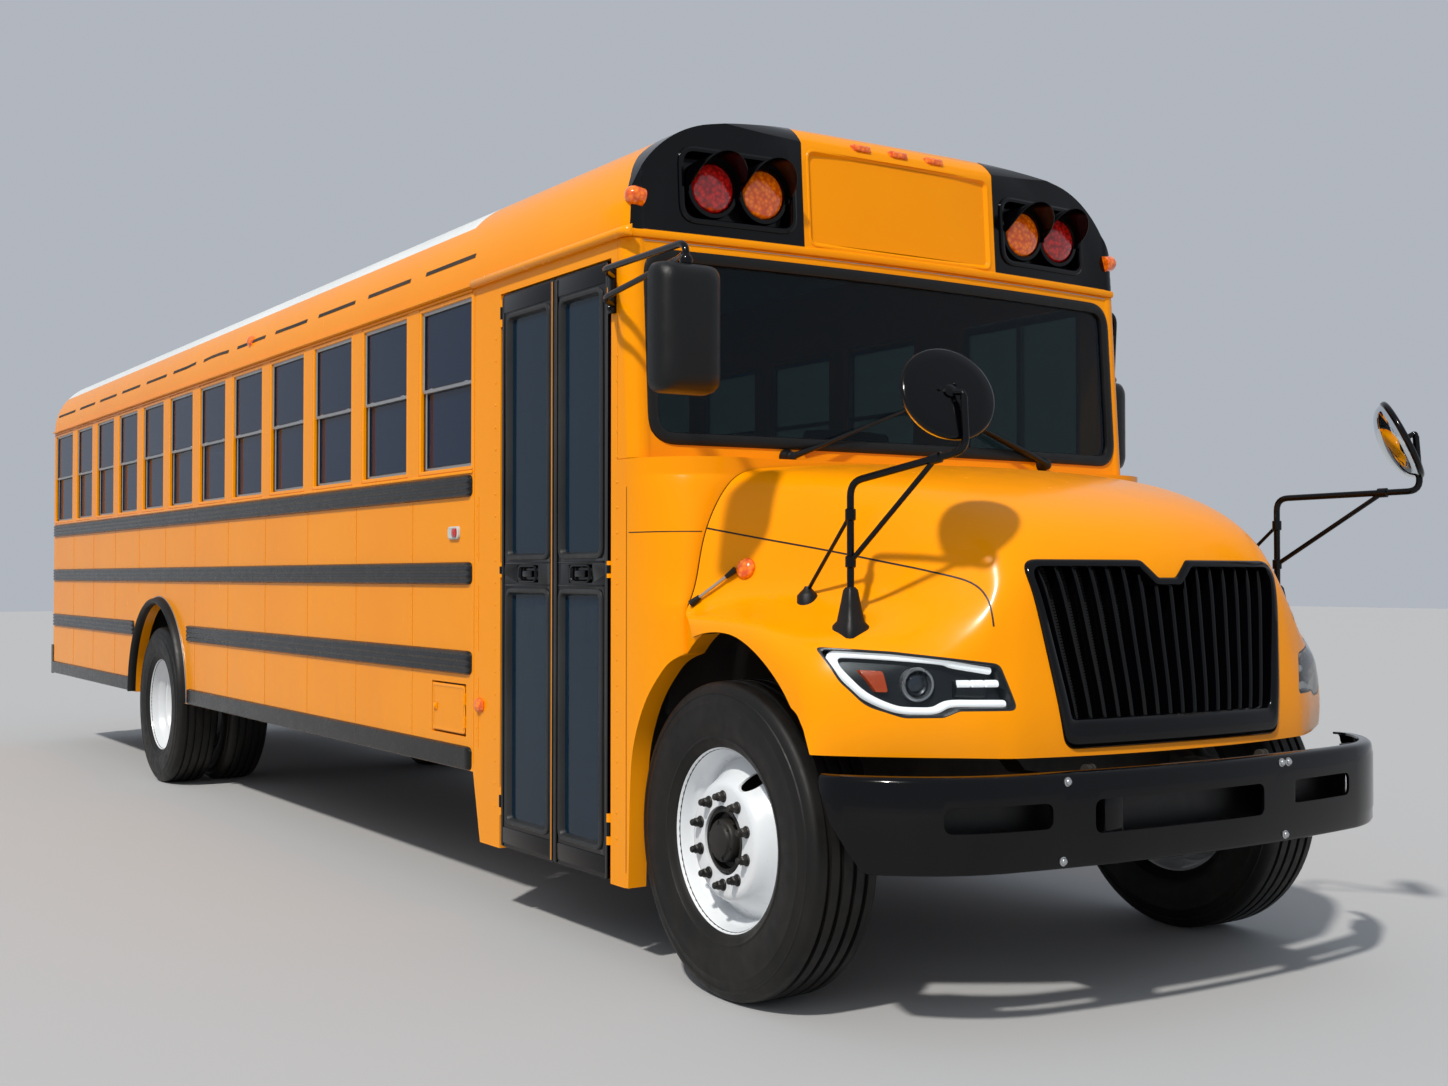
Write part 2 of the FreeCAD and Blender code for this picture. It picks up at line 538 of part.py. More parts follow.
def cowl_wire(inset, y):
    t = (PILLAR_Y - y) / (PILLAR_Y - cowl_y0)
    x = HALF - inset - 25 * t
    top = COWL_TOP - inset
    foot = DOOR_LOW_SKIRT - 50
    shoulder_x = x - 100 - 90 * t
    return wire([V(x, y, foot), V(x, y, 1300), V(x - 60 * t, y, 1500 - 20 * t),
                 (V(x - 30 - 75 * t, y, top - 90 - 40 * t), V(shoulder_x, y, top)),
                 V(-shoulder_x, y, top), (V(30 + 75 * t - x, y, top - 90 - 40 * t), V(60 * t - x, y, 1500 - 20 * t)),
                 V(-x, y, 1300), V(-x, y, foot)])


def cowl_block(inset):
    return Part.makeLoft([cowl_wire(inset, cowl_y0), cowl_wire(inset, PILLAR_Y)], True, True)


cowl = cowl_block(0).cut(cowl_block(SKIN_T))
arch_cut = side([(FRONT_ARCH_Y - FRONT_ARCH_R, 0), (FRONT_ARCH_Y - FRONT_ARCH_R, FRONT_ARCH_Z),
                 ((FRONT_ARCH_Y, FRONT_ARCH_Z + FRONT_ARCH_R), (FRONT_ARCH_Y + FRONT_ARCH_R, FRONT_ARCH_Z)),
                 (FRONT_ARCH_Y + FRONT_ARCH_R, 0)], -1500, 1500)
cowl = cowl.cut(arch_cut)
cowl = cowl.common(box(-HALF - 9, HALF + 9, cowl_y0, PILLAR_Y, DOOR_LOW_SKIRT, COWL_TOP + 50))
cowl = cowl.cut(box(-HALF - 9, HALF + 9, FIREWALL_Y, PILLAR_Y, COWL_TOP - 1, COWL_TOP + 50))
cowl_inner = firewall.common(cowl_block(SKIN_T))
cowl = fuse([cowl, cowl_inner])
save("cowl", cowl)


# ---- hood ----------------------------------------------------------------------------------
# station, half-width of the fender, its shoulder height, foot of the bonnet side (x, z), bonnet
# shoulder (x, z), height on the centre line
HOOD_SECTIONS = ((HOOD_REAR_Y, 1194, 1225, 1085, 1400, 1000, 1745, 1785),
                 (-200, 1194, 1205, 985, 1330, 880, 1705, 1775),
                 (-560, 1150, 1165, 860, 1270, 760, 1585, 1650),
                 (-900, 1010, 1110, 720, 1200, 640, 1400, 1470))


def fillet_arc(before, corner, after, r):
    a = (before - corner).normalize()
    b = (after - corner).normalize()
    half = a.getAngle(b) / 2
    run = r / math.tan(half)
    centre = corner + (a + b).normalize() * (r / math.sin(half))
    return corner + a * run, centre + (corner - centre).normalize() * r, corner + b * run


def hood_wire(row, inset):
    y, fx, fz, cx, cz, tx, tz, top = row
    p = [V(fx - inset, y, 600), V(fx - inset, y, fz - inset), V(cx - inset, y, cz - inset),
         V(tx - inset, y, tz - inset), V(0, y, top - inset)]
    fs, fm, fe = fillet_arc(p[0], p[1], p[2], 50)
    ss, sm, se = fillet_arc(p[2], p[3], p[4], 130)
    left = [p[0], fs, (fm, fe), p[2], ss, (sm, se)]

    def flip(q):
        return V(-q.x, q.y, q.z)
    right = [(flip(sm), flip(ss)), flip(p[2]), flip(fe), (flip(fm), flip(fs)), flip(p[0])]
    crown = [p[4], flip(se)]
    return wire(left + crown + right)


def hood_front(inset):
    """Bowed plan of the nose and its lean in side view."""
    y = -885 + inset
    far = 1600
    bowed = plan([(far, far), (far, -300 + inset), (1215, -400 + inset), ((940, -700 + inset), (560, y + 30)),
                  ((0, y), (-560, y + 30)), ((-940, -700 + inset), (-1215, -400 + inset)), (-far, -300 + inset),
                  (-far, far)], 500, 2000)
    lean = side([(far, 500), (-895 + inset, 500), (-895 + inset, 860), (-812 + inset, 1400),
                 ((-775 + inset, 1470 - inset / 2), (-690 + inset, 1545 - inset)), (-300, 1752 - inset),
                 (-100, 2000), (far, 2000)], -1700, 1700)
    return bowed.common(lean)


def hood_block(inset):
    body = Part.makeLoft([hood_wire(row, inset) for row in HOOD_SECTIONS], True, True)
    return body.common(hood_front(inset))


hood_outer = hood_block(0)
hood_skin = hood_outer.cut(hood_block(SKIN_T + 4))
hood_skin = hood_skin.cut(arch_cut)
hood_skin = hood_skin.common(box(-1300, 1300, -950, HOOD_REAR_Y, HOOD_BOTTOM, 1900))


def grille_outline(grow, y0, y1):
    notch = 46
    return cross([(-GRILLE_TOP_X - grow, GRILLE_TOP + grow), (-GRILLE_BOTTOM_X - grow, GRILLE_BOTTOM - grow),
                  (GRILLE_BOTTOM_X + grow, GRILLE_BOTTOM - grow), (GRILLE_TOP_X + grow, GRILLE_TOP + grow),
                  (90, GRILLE_TOP + grow), (40, GRILLE_TOP - notch + grow), (-40, GRILLE_TOP - notch + grow),
                  (-90, GRILLE_TOP + grow)], y0, y1)


LAMP_OUTLINE = ((1150, 1157), (940, 1146), (752, 1123), (708, 985), (800, 962), (900, 958), (1030, 1010),
                (1105, 1080))
hood_skin = hood_skin.cut(grille_outline(0, -1000, -500))
lamp_tools = both(cross(LAMP_OUTLINE, -1000, -300))
hood_skin = hood_skin.cut(lamp_tools)
for sign in (-1, 1):
    x0, x1 = sign * LUG_X - LUG_T / 2, sign * LUG_X + LUG_T / 2
    eye = rod((x0, HOOD_PIVOT_Y, HOOD_PIVOT_Z), (x1, HOOD_PIVOT_Y, HOOD_PIVOT_Z), 20)
    tab = box(x0, x1, HOOD_PIVOT_Y - 12, HOOD_PIVOT_Y + 8, HOOD_PIVOT_Z, GRILLE_BOTTOM - 8)
    lug = eye.fuse(tab).cut(rod((x0 - 5, HOOD_PIVOT_Y, HOOD_PIVOT_Z), (x1 + 5, HOOD_PIVOT_Y, HOOD_PIVOT_Z),
                                HOOD_PIN_R + PIN_GAP))
    hood_skin = hood_skin.fuse(lug)
save("hood", hood_skin)

lamp_shell = hood_outer.cut(hood_block(60))
save("headlamps", [lamp_shell.common(tool) for tool in lamp_tools])

grille_shell = hood_outer.cut(hood_block(50))
ring = grille_shell.common(grille_outline(0, -1000, -500).cut(grille_outline(-38, -1010, -490)))
bars = []
for index in range(GRILLE_BARS):
    f = (index + 0.5) / GRILLE_BARS * 2 - 1
    xb, xt = f * (GRILLE_BOTTOM_X - 30), f * (GRILLE_TOP_X - 30)
    bars.append(Part.makeLoft([wire([V(xb - 9, -860, 890), V(xb + 9, -860, 890), V(xb + 9, -815, 890),
                                     V(xb - 9, -815, 890)]),
                               wire([V(xt - 9, -795, 1395), V(xt + 9, -795, 1395), V(xt + 9, -750, 1395),
                                     V(xt - 9, -750, 1395)])], True, True))
save("grille", fuse([ring] + bars))

# ---- bumpers -------------------------------------------------------------------------------
def bumper_plan(inset, z0, z1):
    y = -FRONT_OVERHANG + inset
    return plan([(-1210 + inset, -200), (-1210 + inset, -640), ((-1100, -790 + inset), (-800, -948 + inset)),
                 ((0, y), (800, -948 + inset)), ((1100, -790 + inset), (1210 - inset, -640)),
                 (1210 - inset, -200)], z0, z1)


bumper = bumper_plan(0, BUMPER_Z0, BUMPER_Z1).cut(bumper_plan(BUMPER_T, BUMPER_Z0 + BUMPER_T, BUMPER_Z1 - BUMPER_T))
bumper = bumper.cut(bumper_plan(BUMPER_LIP, BUMPER_Z0 - 5, BUMPER_Z1 + 5))
ends = side([(-2000, 0), (-2000, 1000), (-575, 1000), (-575, BUMPER_Z1), (-725, BUMPER_Z0), (-725, 0)], -1300, 1300)
bumper = bumper.common(ends)
SLOTS = ((-484, 254), (-982, -640), (408, 750))
for x0, x1 in SLOTS:
    bumper = bumper.cut(box(x0, x1, -1100, -700, 616, 708))
stays = [bumper_plan(BUMPER_T, BUMPER_Z0 + 60, NOSE_TOP).common(
    box(s * LUG_X - 38, s * LUG_X + 38, -1100, RAIL_Y0, BUMPER_Z0 + 60, NOSE_TOP)) for s in (-1, 1)]
save("front_bumper", fuse([bumper] + stays))


def rear_bumper_plan(inset, y0, z0, z1):
    x, y = HALF + 6 - inset, BODY_REAR_Y + 60 - inset
    return plan([(-x, y0), (-x, y - 50), (-x + 50, y), (x - 50, y), (x, y - 50), (x, y0)], z0, z1)


rear_bumper = rear_bumper_plan(0, BODY_REAR_Y - 56, RB_Z0, RB_Z1).cut(
    rear_bumper_plan(RB_T, BODY_REAR_Y - 99, RB_Z0 - 9, RB_Z1 + 9))
horns = [box(min(s * (RAIL_OUT_X - RAIL_FLANGE), s * RAIL_OUT_X), max(s * (RAIL_OUT_X - RAIL_FLANGE), s * RAIL_OUT_X),
             BODY_REAR_Y, BODY_REAR_Y + 60 - RB_T, RAIL_BOTTOM, RB_Z1 - 10) for s in (-1, 1)]
save("rear_bumper", fuse([rear_bumper] + horns))

# ---- frame ---------------------------------------------------------------------------------
rail_outline = [(RAIL_Y0, NOSE_BOTTOM), (RAIL_Y0, NOSE_TOP), (-560, NOSE_TOP), (-380, RAIL_TOP),
                (RAIL_Y1, RAIL_TOP), (RAIL_Y1, RAIL_BOTTOM), (-380, RAIL_BOTTOM), (-560, NOSE_BOTTOM)]
rail = side(rail_outline, RAIL_OUT_X - RAIL_FLANGE, RAIL_OUT_X)
channel = [(RAIL_Y0 - 5, NOSE_BOTTOM + RAIL_WEB), (RAIL_Y0 - 5, NOSE_TOP - RAIL_WEB), (-557, NOSE_TOP - RAIL_WEB),
           (-377, RAIL_TOP - RAIL_WEB), (RAIL_Y1 + 5, RAIL_TOP - RAIL_WEB), (RAIL_Y1 + 5, RAIL_BOTTOM + RAIL_WEB),
           (-383, RAIL_BOTTOM + RAIL_WEB), (-563, NOSE_BOTTOM + RAIL_WEB)]
rail = rail.cut(side(channel, RAIL_OUT_X - RAIL_FLANGE - 5, RAIL_OUT_X - RAIL_WEB))
members = []
LOW_MEMBER = (RAIL_BOTTOM + 10, RAIL_BOTTOM + 150)
HIGH_MEMBER = (RAIL_TOP - 150, RAIL_TOP - 10)
NOSE_MEMBER = (NOSE_BOTTOM + 20, NOSE_TOP - 60)
COWL_MEMBER_Y, BEARING_Y = 480, WHEELBASE - 2290
crossmembers = [(-830, NOSE_MEMBER), (-420, LOW_MEMBER)]
crossmembers += [(COWL_MEMBER_Y + k * (BEARING_Y - COWL_MEMBER_Y) / 4, LOW_MEMBER) for k in range(5)]
crossmembers += [(WHEELBASE + y, HIGH_MEMBER) for y in (-1270, -590)]
crossmembers += [(WHEELBASE + y, LOW_MEMBER) for y in (590, 1550, 2550)] + [(BODY_REAR_Y - 90, LOW_MEMBER)]
web_x = RAIL_OUT_X - RAIL_WEB
for y, (z0, z1) in crossmembers:
    member = box(-web_x, web_x, y - 35, y + 35, z0, z1).cut(
        box(-web_x - 5, web_x + 5, y - 27, y + 40, z0 + 8, z1 - 8))
    members.append(member)
FRONT_SPRING_X, SPRING_REACH = RAIL_OUT_X - RAIL_FLANGE / 2, 640
REAR_SPRING_X, REAR_SPRING_REACH = RAIL_OUT_X + 62, 700
REAR_SPRING_END = AXLE_Z + 122
brackets = []
for sign in (-1, 1):
    for off in (-LUG_T / 2 - PIN_GAP - 8, LUG_T / 2 + PIN_GAP):
        x0 = sign * LUG_X + off
        brackets.append(side([(HOOD_PIVOT_Y - 27, NOSE_TOP), (HOOD_PIVOT_Y - 16, HOOD_PIVOT_Z + 6),
                              ((HOOD_PIVOT_Y, HOOD_PIVOT_Z + 16), (HOOD_PIVOT_Y + 16, HOOD_PIVOT_Z + 6)),
                              (HOOD_PIVOT_Y + 40, NOSE_TOP)], x0, x0 + 8))
    pin_x = LUG_T / 2 + PIN_GAP
    brackets.append(rod((sign * LUG_X - pin_x, HOOD_PIVOT_Y, HOOD_PIVOT_Z),
                        (sign * LUG_X + pin_x, HOOD_PIVOT_Y, HOOD_PIVOT_Z), HOOD_PIN_R))
for sign in (-1, 1):
    x0, x1 = sorted((sign * (FRONT_SPRING_X - 20), sign * (FRONT_SPRING_X + 20)))
    brackets.append(box(x0, x1, SPRING_REACH - 40, SPRING_REACH, NOSE_BOTTOM, RAIL_BOTTOM))
    x0, x1 = sorted((sign * RAIL_OUT_X, sign * (REAR_SPRING_X + 30)))
    for y in (WHEELBASE - REAR_SPRING_REACH, WHEELBASE + REAR_SPRING_REACH - 40):
        brackets.append(box(x0, x1, y, y + 40, REAR_SPRING_END + 5, RAIL_BOTTOM + 75))
TOW_R, TOW_T, TOW_Y, TOW_Z = 25, 30, BODY_REAR_Y - 90, 590
for sign in (-1, 1):
    x0 = sign * (RAIL_OUT_X - RAIL_FLANGE / 2) - TOW_T / 2
    plate = box(x0, x0 + TOW_T, TOW_Y - 60, TOW_Y + 60, TOW_Z - 50, RAIL_BOTTOM)
    brackets.append(plate.cut(rod((x0 - 5, TOW_Y, TOW_Z), (x0 + TOW_T + 5, TOW_Y, TOW_Z), TOW_R)))
save("chassis_frame", fuse([rail, mirror(rail)] + members + brackets))

# ---- axles, springs ------------------------------------------------------------------------
BEAM_Z = 440
beam = cross([(-820, BEAM_Z + 30), (-700, BEAM_Z - 50), (700, BEAM_Z - 50), (820, BEAM_Z + 30), (890, BEAM_Z + 30),
              (890, BEAM_Z + 110), (800, BEAM_Z + 110), (680, BEAM_Z + 30), (-680, BEAM_Z + 30),
              (-800, BEAM_Z + 110), (-890, BEAM_Z + 110), (-890, BEAM_Z + 30)], -55, 55)
kingpin_eyes = [rod((s * KINGPIN_X, 0, BEAM_Z + 30), (s * KINGPIN_X, 0, BEAM_Z + 110), 50) for s in (-1, 1)]
save("front_axle", fuse([beam] + kingpin_eyes))
REAR_SPINDLE_X = 686.7
housing = rod((-REAR_SPINDLE_X, WHEELBASE, AXLE_Z), (REAR_SPINDLE_X, WHEELBASE, AXLE_Z), 70)
banjo = rod((-110, WHEELBASE, AXLE_Z), (110, WHEELBASE, AXLE_Z), 205)
pinion = rod((0, WHEELBASE - 340, AXLE_Z + 10), (0, WHEELBASE, AXLE_Z + 10), 90)
spring_seats = [box(s * REAR_SPRING_X - 45, s * REAR_SPRING_X + 45, WHEELBASE - 70, WHEELBASE + 70, AXLE_Z, AXLE_Z + 80)
                for s in (-1, 1)]
save("rear_axle", fuse([housing, banjo, pinion] + spring_seats))


def leaf_pack(y_mid, reach, x, z_seat, z_end, thick):
    top = [(y_mid - reach, z_end), ((y_mid, z_seat), (y_mid + reach, z_end))]
    bottom = [(y_mid + reach, z_end - 24), ((y_mid, z_seat - thick), (y_mid - reach, z_end - 24))]
    return side(top + bottom, x - 38, x + 38)


springs = both(leaf_pack(0, SPRING_REACH, FRONT_SPRING_X, BEAM_Z + 90, NOSE_BOTTOM, 60))
springs += both(leaf_pack(WHEELBASE, REAR_SPRING_REACH, REAR_SPRING_X, AXLE_Z + 160, REAR_SPRING_END, 80))
save("leaf_springs", springs)

# ---- wheels --------------------------------------------------------------------------------
def revolve_x(profile, x_sign, centre):
    """Turn (offset, radius) points about the wheel axis through centre, offset outward."""
    def lift(p):
        if isinstance(p[0], tuple):
            return tuple(lift(q) for q in p)
        return V(centre[0] + x_sign * p[0], centre[1], centre[2] + p[1])
    face = Part.Face(wire([lift(p) for p in profile]))
    return face.revolve(V(*centre), V(1, 0, 0), 360)


half_w = TYRE_W / 2
TYRE_PROFILE = [(-100, RIM_R - 14), (-half_w + 8, RIM_R + 55), (-half_w, RIM_R + 115), (-half_w + 12, TYRE_R - 50),
                (-half_w + 38, TYRE_R), (half_w - 38, TYRE_R), (half_w - 12, TYRE_R - 50), (half_w, RIM_R + 115),
                (half_w - 8, RIM_R + 55), (100, RIM_R - 14)]
RIM_PROFILE = [(-112, RIM_R + 6), (-112, RIM_R - 14.3), (112, RIM_R - 14.3), (112, RIM_R + 6), (120, RIM_R + 6),
               (120, RIM_R - 26), (10, RIM_R - 44), (-120, RIM_R - 26), (-120, RIM_R + 6)]


def wheel_disc(offset, dish):
    """Dished steel disc from the rim well to the hub face."""
    return [(offset, RIM_R - 30), (offset + dish, 190), (offset + dish, 105), (offset + dish + 12, 105),
            (offset + dish + 12, 190), (offset + 14, RIM_R - 30)]


for side_name, sign in (("right", -1), ("left", 1)):
    c = (sign * FRONT_TRACK_X, 0, AXLE_Z)
    tyre = revolve_x(TYRE_PROFILE, sign, c)
    save(f"front_{side_name}_tyre", tyre)
    rim = revolve_x(RIM_PROFILE, sign, c)
    disc = revolve_x(wheel_disc(-30, 75), sign, c)
    hub = revolve_x([(-20, 0), (-20, 110), (45, 110), (70, 110), (70, 85), (130, 80), (140, 60), (140, 0)], sign, c)
    save(f"front_{side_name}_wheel", fuse([rim, disc, hub]))
    outer = (sign * DUAL_OUT_X, WHEELBASE, AXLE_Z)
    inner_c = (sign * DUAL_IN_X, WHEELBASE, AXLE_Z)
    save(f"rear_{side_name}_tyres", [revolve_x(TYRE_PROFILE, sign, outer), revolve_x(TYRE_PROFILE, sign, inner_c)])
    mount = (sign * (DUAL_OUT_X + DUAL_IN_X) / 2, WHEELBASE, AXLE_Z)
    rims = [revolve_x(RIM_PROFILE, sign, outer), revolve_x(RIM_PROFILE, -sign, inner_c)]
    discs = [revolve_x(wheel_disc(40, -190), sign, outer), revolve_x(wheel_disc(40, -190), -sign, inner_c)]
    rear_hub = revolve_x([(-285, 71), (-285, 120), (60, 120), (60, 95), (190, 90), (200, 70), (200, 0), (-240, 0),
                          (-240, 71)], sign, mount)
    save(f"rear_{side_name}_wheel", fuse(rims + discs + [rear_hub]))
    k = sign * KINGPIN_X
    plate_x = sorted((k + sign * 51, k + sign * 80))
    knuckle = fuse([box(*sorted((k, k + sign * 60)), -45, 45, BEAM_Z - 20, BEAM_Z + 30 - PIN_GAP),
                    rod((k, 0, BEAM_Z - 20), (k, 0, BEAM_Z + 30 - PIN_GAP), 45),
                    box(*sorted((k, k + sign * 60)), -45, 45, BEAM_Z + 110 + PIN_GAP, BEAM_Z + 160),
                    rod((k, 0, BEAM_Z + 110 + PIN_GAP), (k, 0, BEAM_Z + 160), 45),
                    box(*plate_x, -60, 60, BEAM_Z - 20, BEAM_Z + 176),
                    rod((k + sign * 80, 0, AXLE_Z), (sign * (FRONT_TRACK_X - 20.3), 0, AXLE_Z), 55)])
    save(f"front_{side_name}_knuckle", knuckle)

# ---- engine, drive, tank, exhaust ----------------------------------------------------------
ENGINE_Y0, ENGINE_Y1, ENGINE_TOP = -520, 400, 1340
ENGINE_X = RAIL_OUT_X - RAIL_FLANGE - 32
save("engine_block", box(-ENGINE_X, ENGINE_X, ENGINE_Y0, ENGINE_Y1, LOW_MEMBER[1], ENGINE_TOP))
SHAFT_Z, SHAFT_R = 840, 45
shaft = rod((0, ENGINE_Y1, SHAFT_Z), (0, BEARING_Y, SHAFT_Z), SHAFT_R)
bearing = box(-60, 60, BEARING_Y - 30, BEARING_Y + 30, LOW_MEMBER[1], SHAFT_Z + 30)
cross_pin = rod((-60, BEARING_Y + 60, SHAFT_Z), (60, BEARING_Y + 60, SHAFT_Z), SHAFT_R + 8)
rear_shaft = rod((0, BEARING_Y, SHAFT_Z), (0, BEARING_Y + 60, SHAFT_Z), SHAFT_R - 10)
drop = rod((0, BEARING_Y + 60, SHAFT_Z), (0, WHEELBASE - 420, AXLE_Z + 20), SHAFT_R)
yoke = rod((0, WHEELBASE - 430, AXLE_Z + 10), (0, WHEELBASE - 340, AXLE_Z + 10), SHAFT_R + 10)
save("drive_shaft", fuse([shaft, bearing, cross_pin, rear_shaft, drop, yoke]))
TANK_X, TANK_Y0, TANK_Y1 = RAIL_OUT_X - RAIL_FLANGE - 17, WHEELBASE + 670, WHEELBASE + 2430
tank = box(-TANK_X, TANK_X, TANK_Y0, TANK_Y1, 430, LOW_MEMBER[0])
save("fuel_tank", tank.makeFillet(50, [e for e in tank.Edges if abs(e.tangentAt(0).y) > 0.9]))
MUFFLER_X, MUFFLER_Z = 650, 720
TAIL_X, TAIL_Y0, TAIL_Z, TAIL_R = 520, WHEELBASE + 2850, 495, 45
ARCHED_Z = 800               # height at which the pipe passes over the rear axle
TIP_R, TIP_L = 50, 200
muffler = rod((MUFFLER_X, 1900, MUFFLER_Z), (MUFFLER_X, 2900, MUFFLER_Z), 130)
pipe = bar([(MUFFLER_X, 2850, MUFFLER_Z), (MUFFLER_X, WHEELBASE - 1550, MUFFLER_Z),
            (TAIL_X, WHEELBASE - 1050, ARCHED_Z), (TAIL_X, WHEELBASE + 2050, ARCHED_Z),
            (TAIL_X, TAIL_Y0, TAIL_Z), (TAIL_X, BODY_REAR_Y - 20, TAIL_Z)], TAIL_R, 0)
hangers = [box(MUFFLER_X - 10, MUFFLER_X + 10, y, y + 40, MUFFLER_Z + 110, RAIL_TOP) for y in (2010, 2710)]
hangers += [box(MUFFLER_X - 8, MUFFLER_X + 8, WHEELBASE - 2740, WHEELBASE - 2700, MUFFLER_Z + 30, RAIL_TOP),
            box(TAIL_X - 8, TAIL_X + 8, WHEELBASE + 1460, WHEELBASE + 1500, ARCHED_Z + 30, RAIL_TOP)]
tip = rod((TAIL_X, BODY_REAR_Y - 20 - TIP_L, TAIL_Z), (TAIL_X, BODY_REAR_Y - 20, TAIL_Z), TIP_R)
save("exhaust", fuse([muffler, pipe, tip] + hangers))

# ---- seats and driver's place --------------------------------------------------------------
SEAT_Y, SEAT_W, SEAT_GAP = 2080, 960, 4
SEAT_H, BACK_TOP, SEAT_D, BACK_REACH = 440, 1060, 400, 165
SEAT_ROWS = int((rear_y0 - SEAT_D - BACK_REACH - SEAT_Y) // WINDOW_PITCH) + 1


def bench(y, x0, x1):
    """Seat and back in one section on two plate legs; the outer leg stands on the wheel well where there is one."""
    z = FLOOR_TOP
    pad = side([(y, z + SEAT_H - 130), (y, z + SEAT_H - 25), (y + 25, z + SEAT_H), (y + SEAT_D, z + SEAT_H - 20),
                (y + SEAT_D + 75, z + BACK_TOP - 30), (y + SEAT_D + 105, z + BACK_TOP),
                (y + SEAT_D + 145, z + BACK_TOP), (y + SEAT_D + BACK_REACH, z + BACK_TOP - 40),
                (y + SEAT_D + 110, z + SEAT_H - 130)], x0, x1)
    leg_y0, leg_y1 = y + 60, y + 420
    over_well = x1 > WELL_X + 400 and well_y0 < leg_y1 and leg_y0 < well_y1
    outer_foot = ARCH_TOP + WELL_T if over_well else z
    if over_well:
        leg_y0, leg_y1 = max(leg_y0, well_y0 + 2), min(leg_y1, well_y1 - 2)
    legs = [box(x0 + 60, x0 + 80, y + 60, y + 420, z, z + SEAT_H - 130),
            box(x1 - 80, x1 - 60, leg_y0, leg_y1, outer_foot, z + SEAT_H - 130)]
    return fuse([pad] + legs)


rows = []
for index in range(SEAT_ROWS):
    y = SEAT_Y + index * WINDOW_PITCH
    rows += both(bench(y, INNER_X - SEAT_W - SEAT_GAP, INNER_X - SEAT_GAP))
save("passenger_seats", rows)
DRIVER_X = 600
driver = bench(1130, DRIVER_X - 240, DRIVER_X + 240)
save("driver_seat", driver)
dash = side([(FIREWALL_Y + FIREWALL_T, FLOOR_TOP + 420), (FIREWALL_Y + FIREWALL_T, COWL_TOP - 5),
             (560, COWL_TOP + 20), (660, COWL_TOP - 30), (700, COWL_TOP - 120), (640, FLOOR_TOP + 420)],
            20 - INNER_X, INNER_X - 4)
dash = dash.cut(box(-INNER_X - 5, -STEP_X, DOOR_Y0 - 20, 900, 900, COWL_TOP + 60))
dash = dash.cut([cowl, surround])
dash = max(dash.Solids, key=lambda solid: solid.Volume)
save("dashboard", dash)
WHEEL_C = V(DRIVER_X, 860, FLOOR_TOP + 790)
WHEEL_N = V(0, 0.5, 0.866)
RING_R, RING_T = 215, 15
ring_section = wire([V(RING_R + RING_T * math.cos(k * math.pi / 3), 0, RING_T * math.sin(k * math.pi / 3))
                     for k in range(6)])
ring = Part.Face(ring_section).revolve(V(0, 0, 0), V(0, 0, 1), 360)
ring.Placement = FreeCAD.Placement(WHEEL_C, FreeCAD.Rotation(V(0, 0, 1), WHEEL_N))
boss = Part.makeCylinder(45, 40, WHEEL_C - WHEEL_N * 30, WHEEL_N)
spokes = [box(DRIVER_X - 212, DRIVER_X + 212, 842, 878, WHEEL_C.z - 8, WHEEL_C.z + 8)]
column = rod((DRIVER_X, WHEEL_C.y, WHEEL_C.z), (DRIVER_X, 690, COWL_TOP - 130), 30)
save("steering_wheel", fuse([ring, boss, column] + spokes).cut(dash))

# ---- mirrors -------------------------------------------------------------------------------
MIRROR_T = 102
MIRROR_ARM_R = 12


def mirror_housing(x, y, half_w, z0, z1):
    """Upright mirror head with a tapered front, centred on x, its glass side towards the rear."""
    return plan([(x - half_w, y - 10), (x - half_w * 0.6, y - 62), (x + half_w * 0.6, y - 62), (x + half_w, y - 10),
                 (x + half_w, y + MIRROR_T - 62), (x - half_w, y + MIRROR_T - 62)], z0, z1)


# right mirror, on two long arms ahead of the windshield
RM_X, RM_Y, RM_Z0, RM_Z1, RM_FOOT_Y, RM_FOOT_Z = -HALF - 171, -140, 1945, 2355, 616, 2480
right_mirror = [
    box(-HALF - 22, -HALF, RM_FOOT_Y - 14, RM_FOOT_Y + 22, RM_FOOT_Z - 170, RM_FOOT_Z),
    mirror_housing(RM_X, RM_Y, 118, RM_Z0, RM_Z1),
    bar([(-HALF - 10, RM_FOOT_Y, RM_FOOT_Z - 40), (-HALF - 110, RM_FOOT_Y - 110, RM_FOOT_Z - 40),
         (RM_X, RM_Y, RM_FOOT_Z - 60), (RM_X, RM_Y, RM_Z1 - 40)], MIRROR_ARM_R),
    bar([(-HALF - 10, RM_FOOT_Y, RM_FOOT_Z - 140), (-HALF - 110, RM_FOOT_Y - 110, RM_FOOT_Z - 140),
         (RM_X + 30, RM_Y + 90, RM_FOOT_Z - 95), (RM_X, RM_Y, RM_FOOT_Z - 95)], MIRROR_ARM_R)]

# left mirror, on a short loop beside the driver's window
LM_X, LM_Y, LM_Z0, LM_Z1, LM_FOOT_Y, LM_FOOT_Z = HALF + 99, 680, 1842, 2238, 650, 2565
left_mirror = [
    box(HALF, HALF + 22, LM_FOOT_Y - 18, LM_FOOT_Y + 18, LM_FOOT_Z - 170, LM_FOOT_Z),
    mirror_housing(LM_X, LM_Y, 78, LM_Z0, LM_Z1),
    bar([(HALF + 10, LM_FOOT_Y, LM_FOOT_Z - 30), (LM_X + 20, LM_FOOT_Y + 10, LM_FOOT_Z - 30),
         (LM_X + 20, LM_Y, LM_Z1 - 40)], MIRROR_ARM_R),
    bar([(HALF + 10, LM_FOOT_Y, LM_FOOT_Z - 130), (LM_X + 20, LM_FOOT_Y + 18, LM_FOOT_Z - 130)], MIRROR_ARM_R)]
save("door_mirrors", [fuse(right_mirror), fuse(left_mirror)])

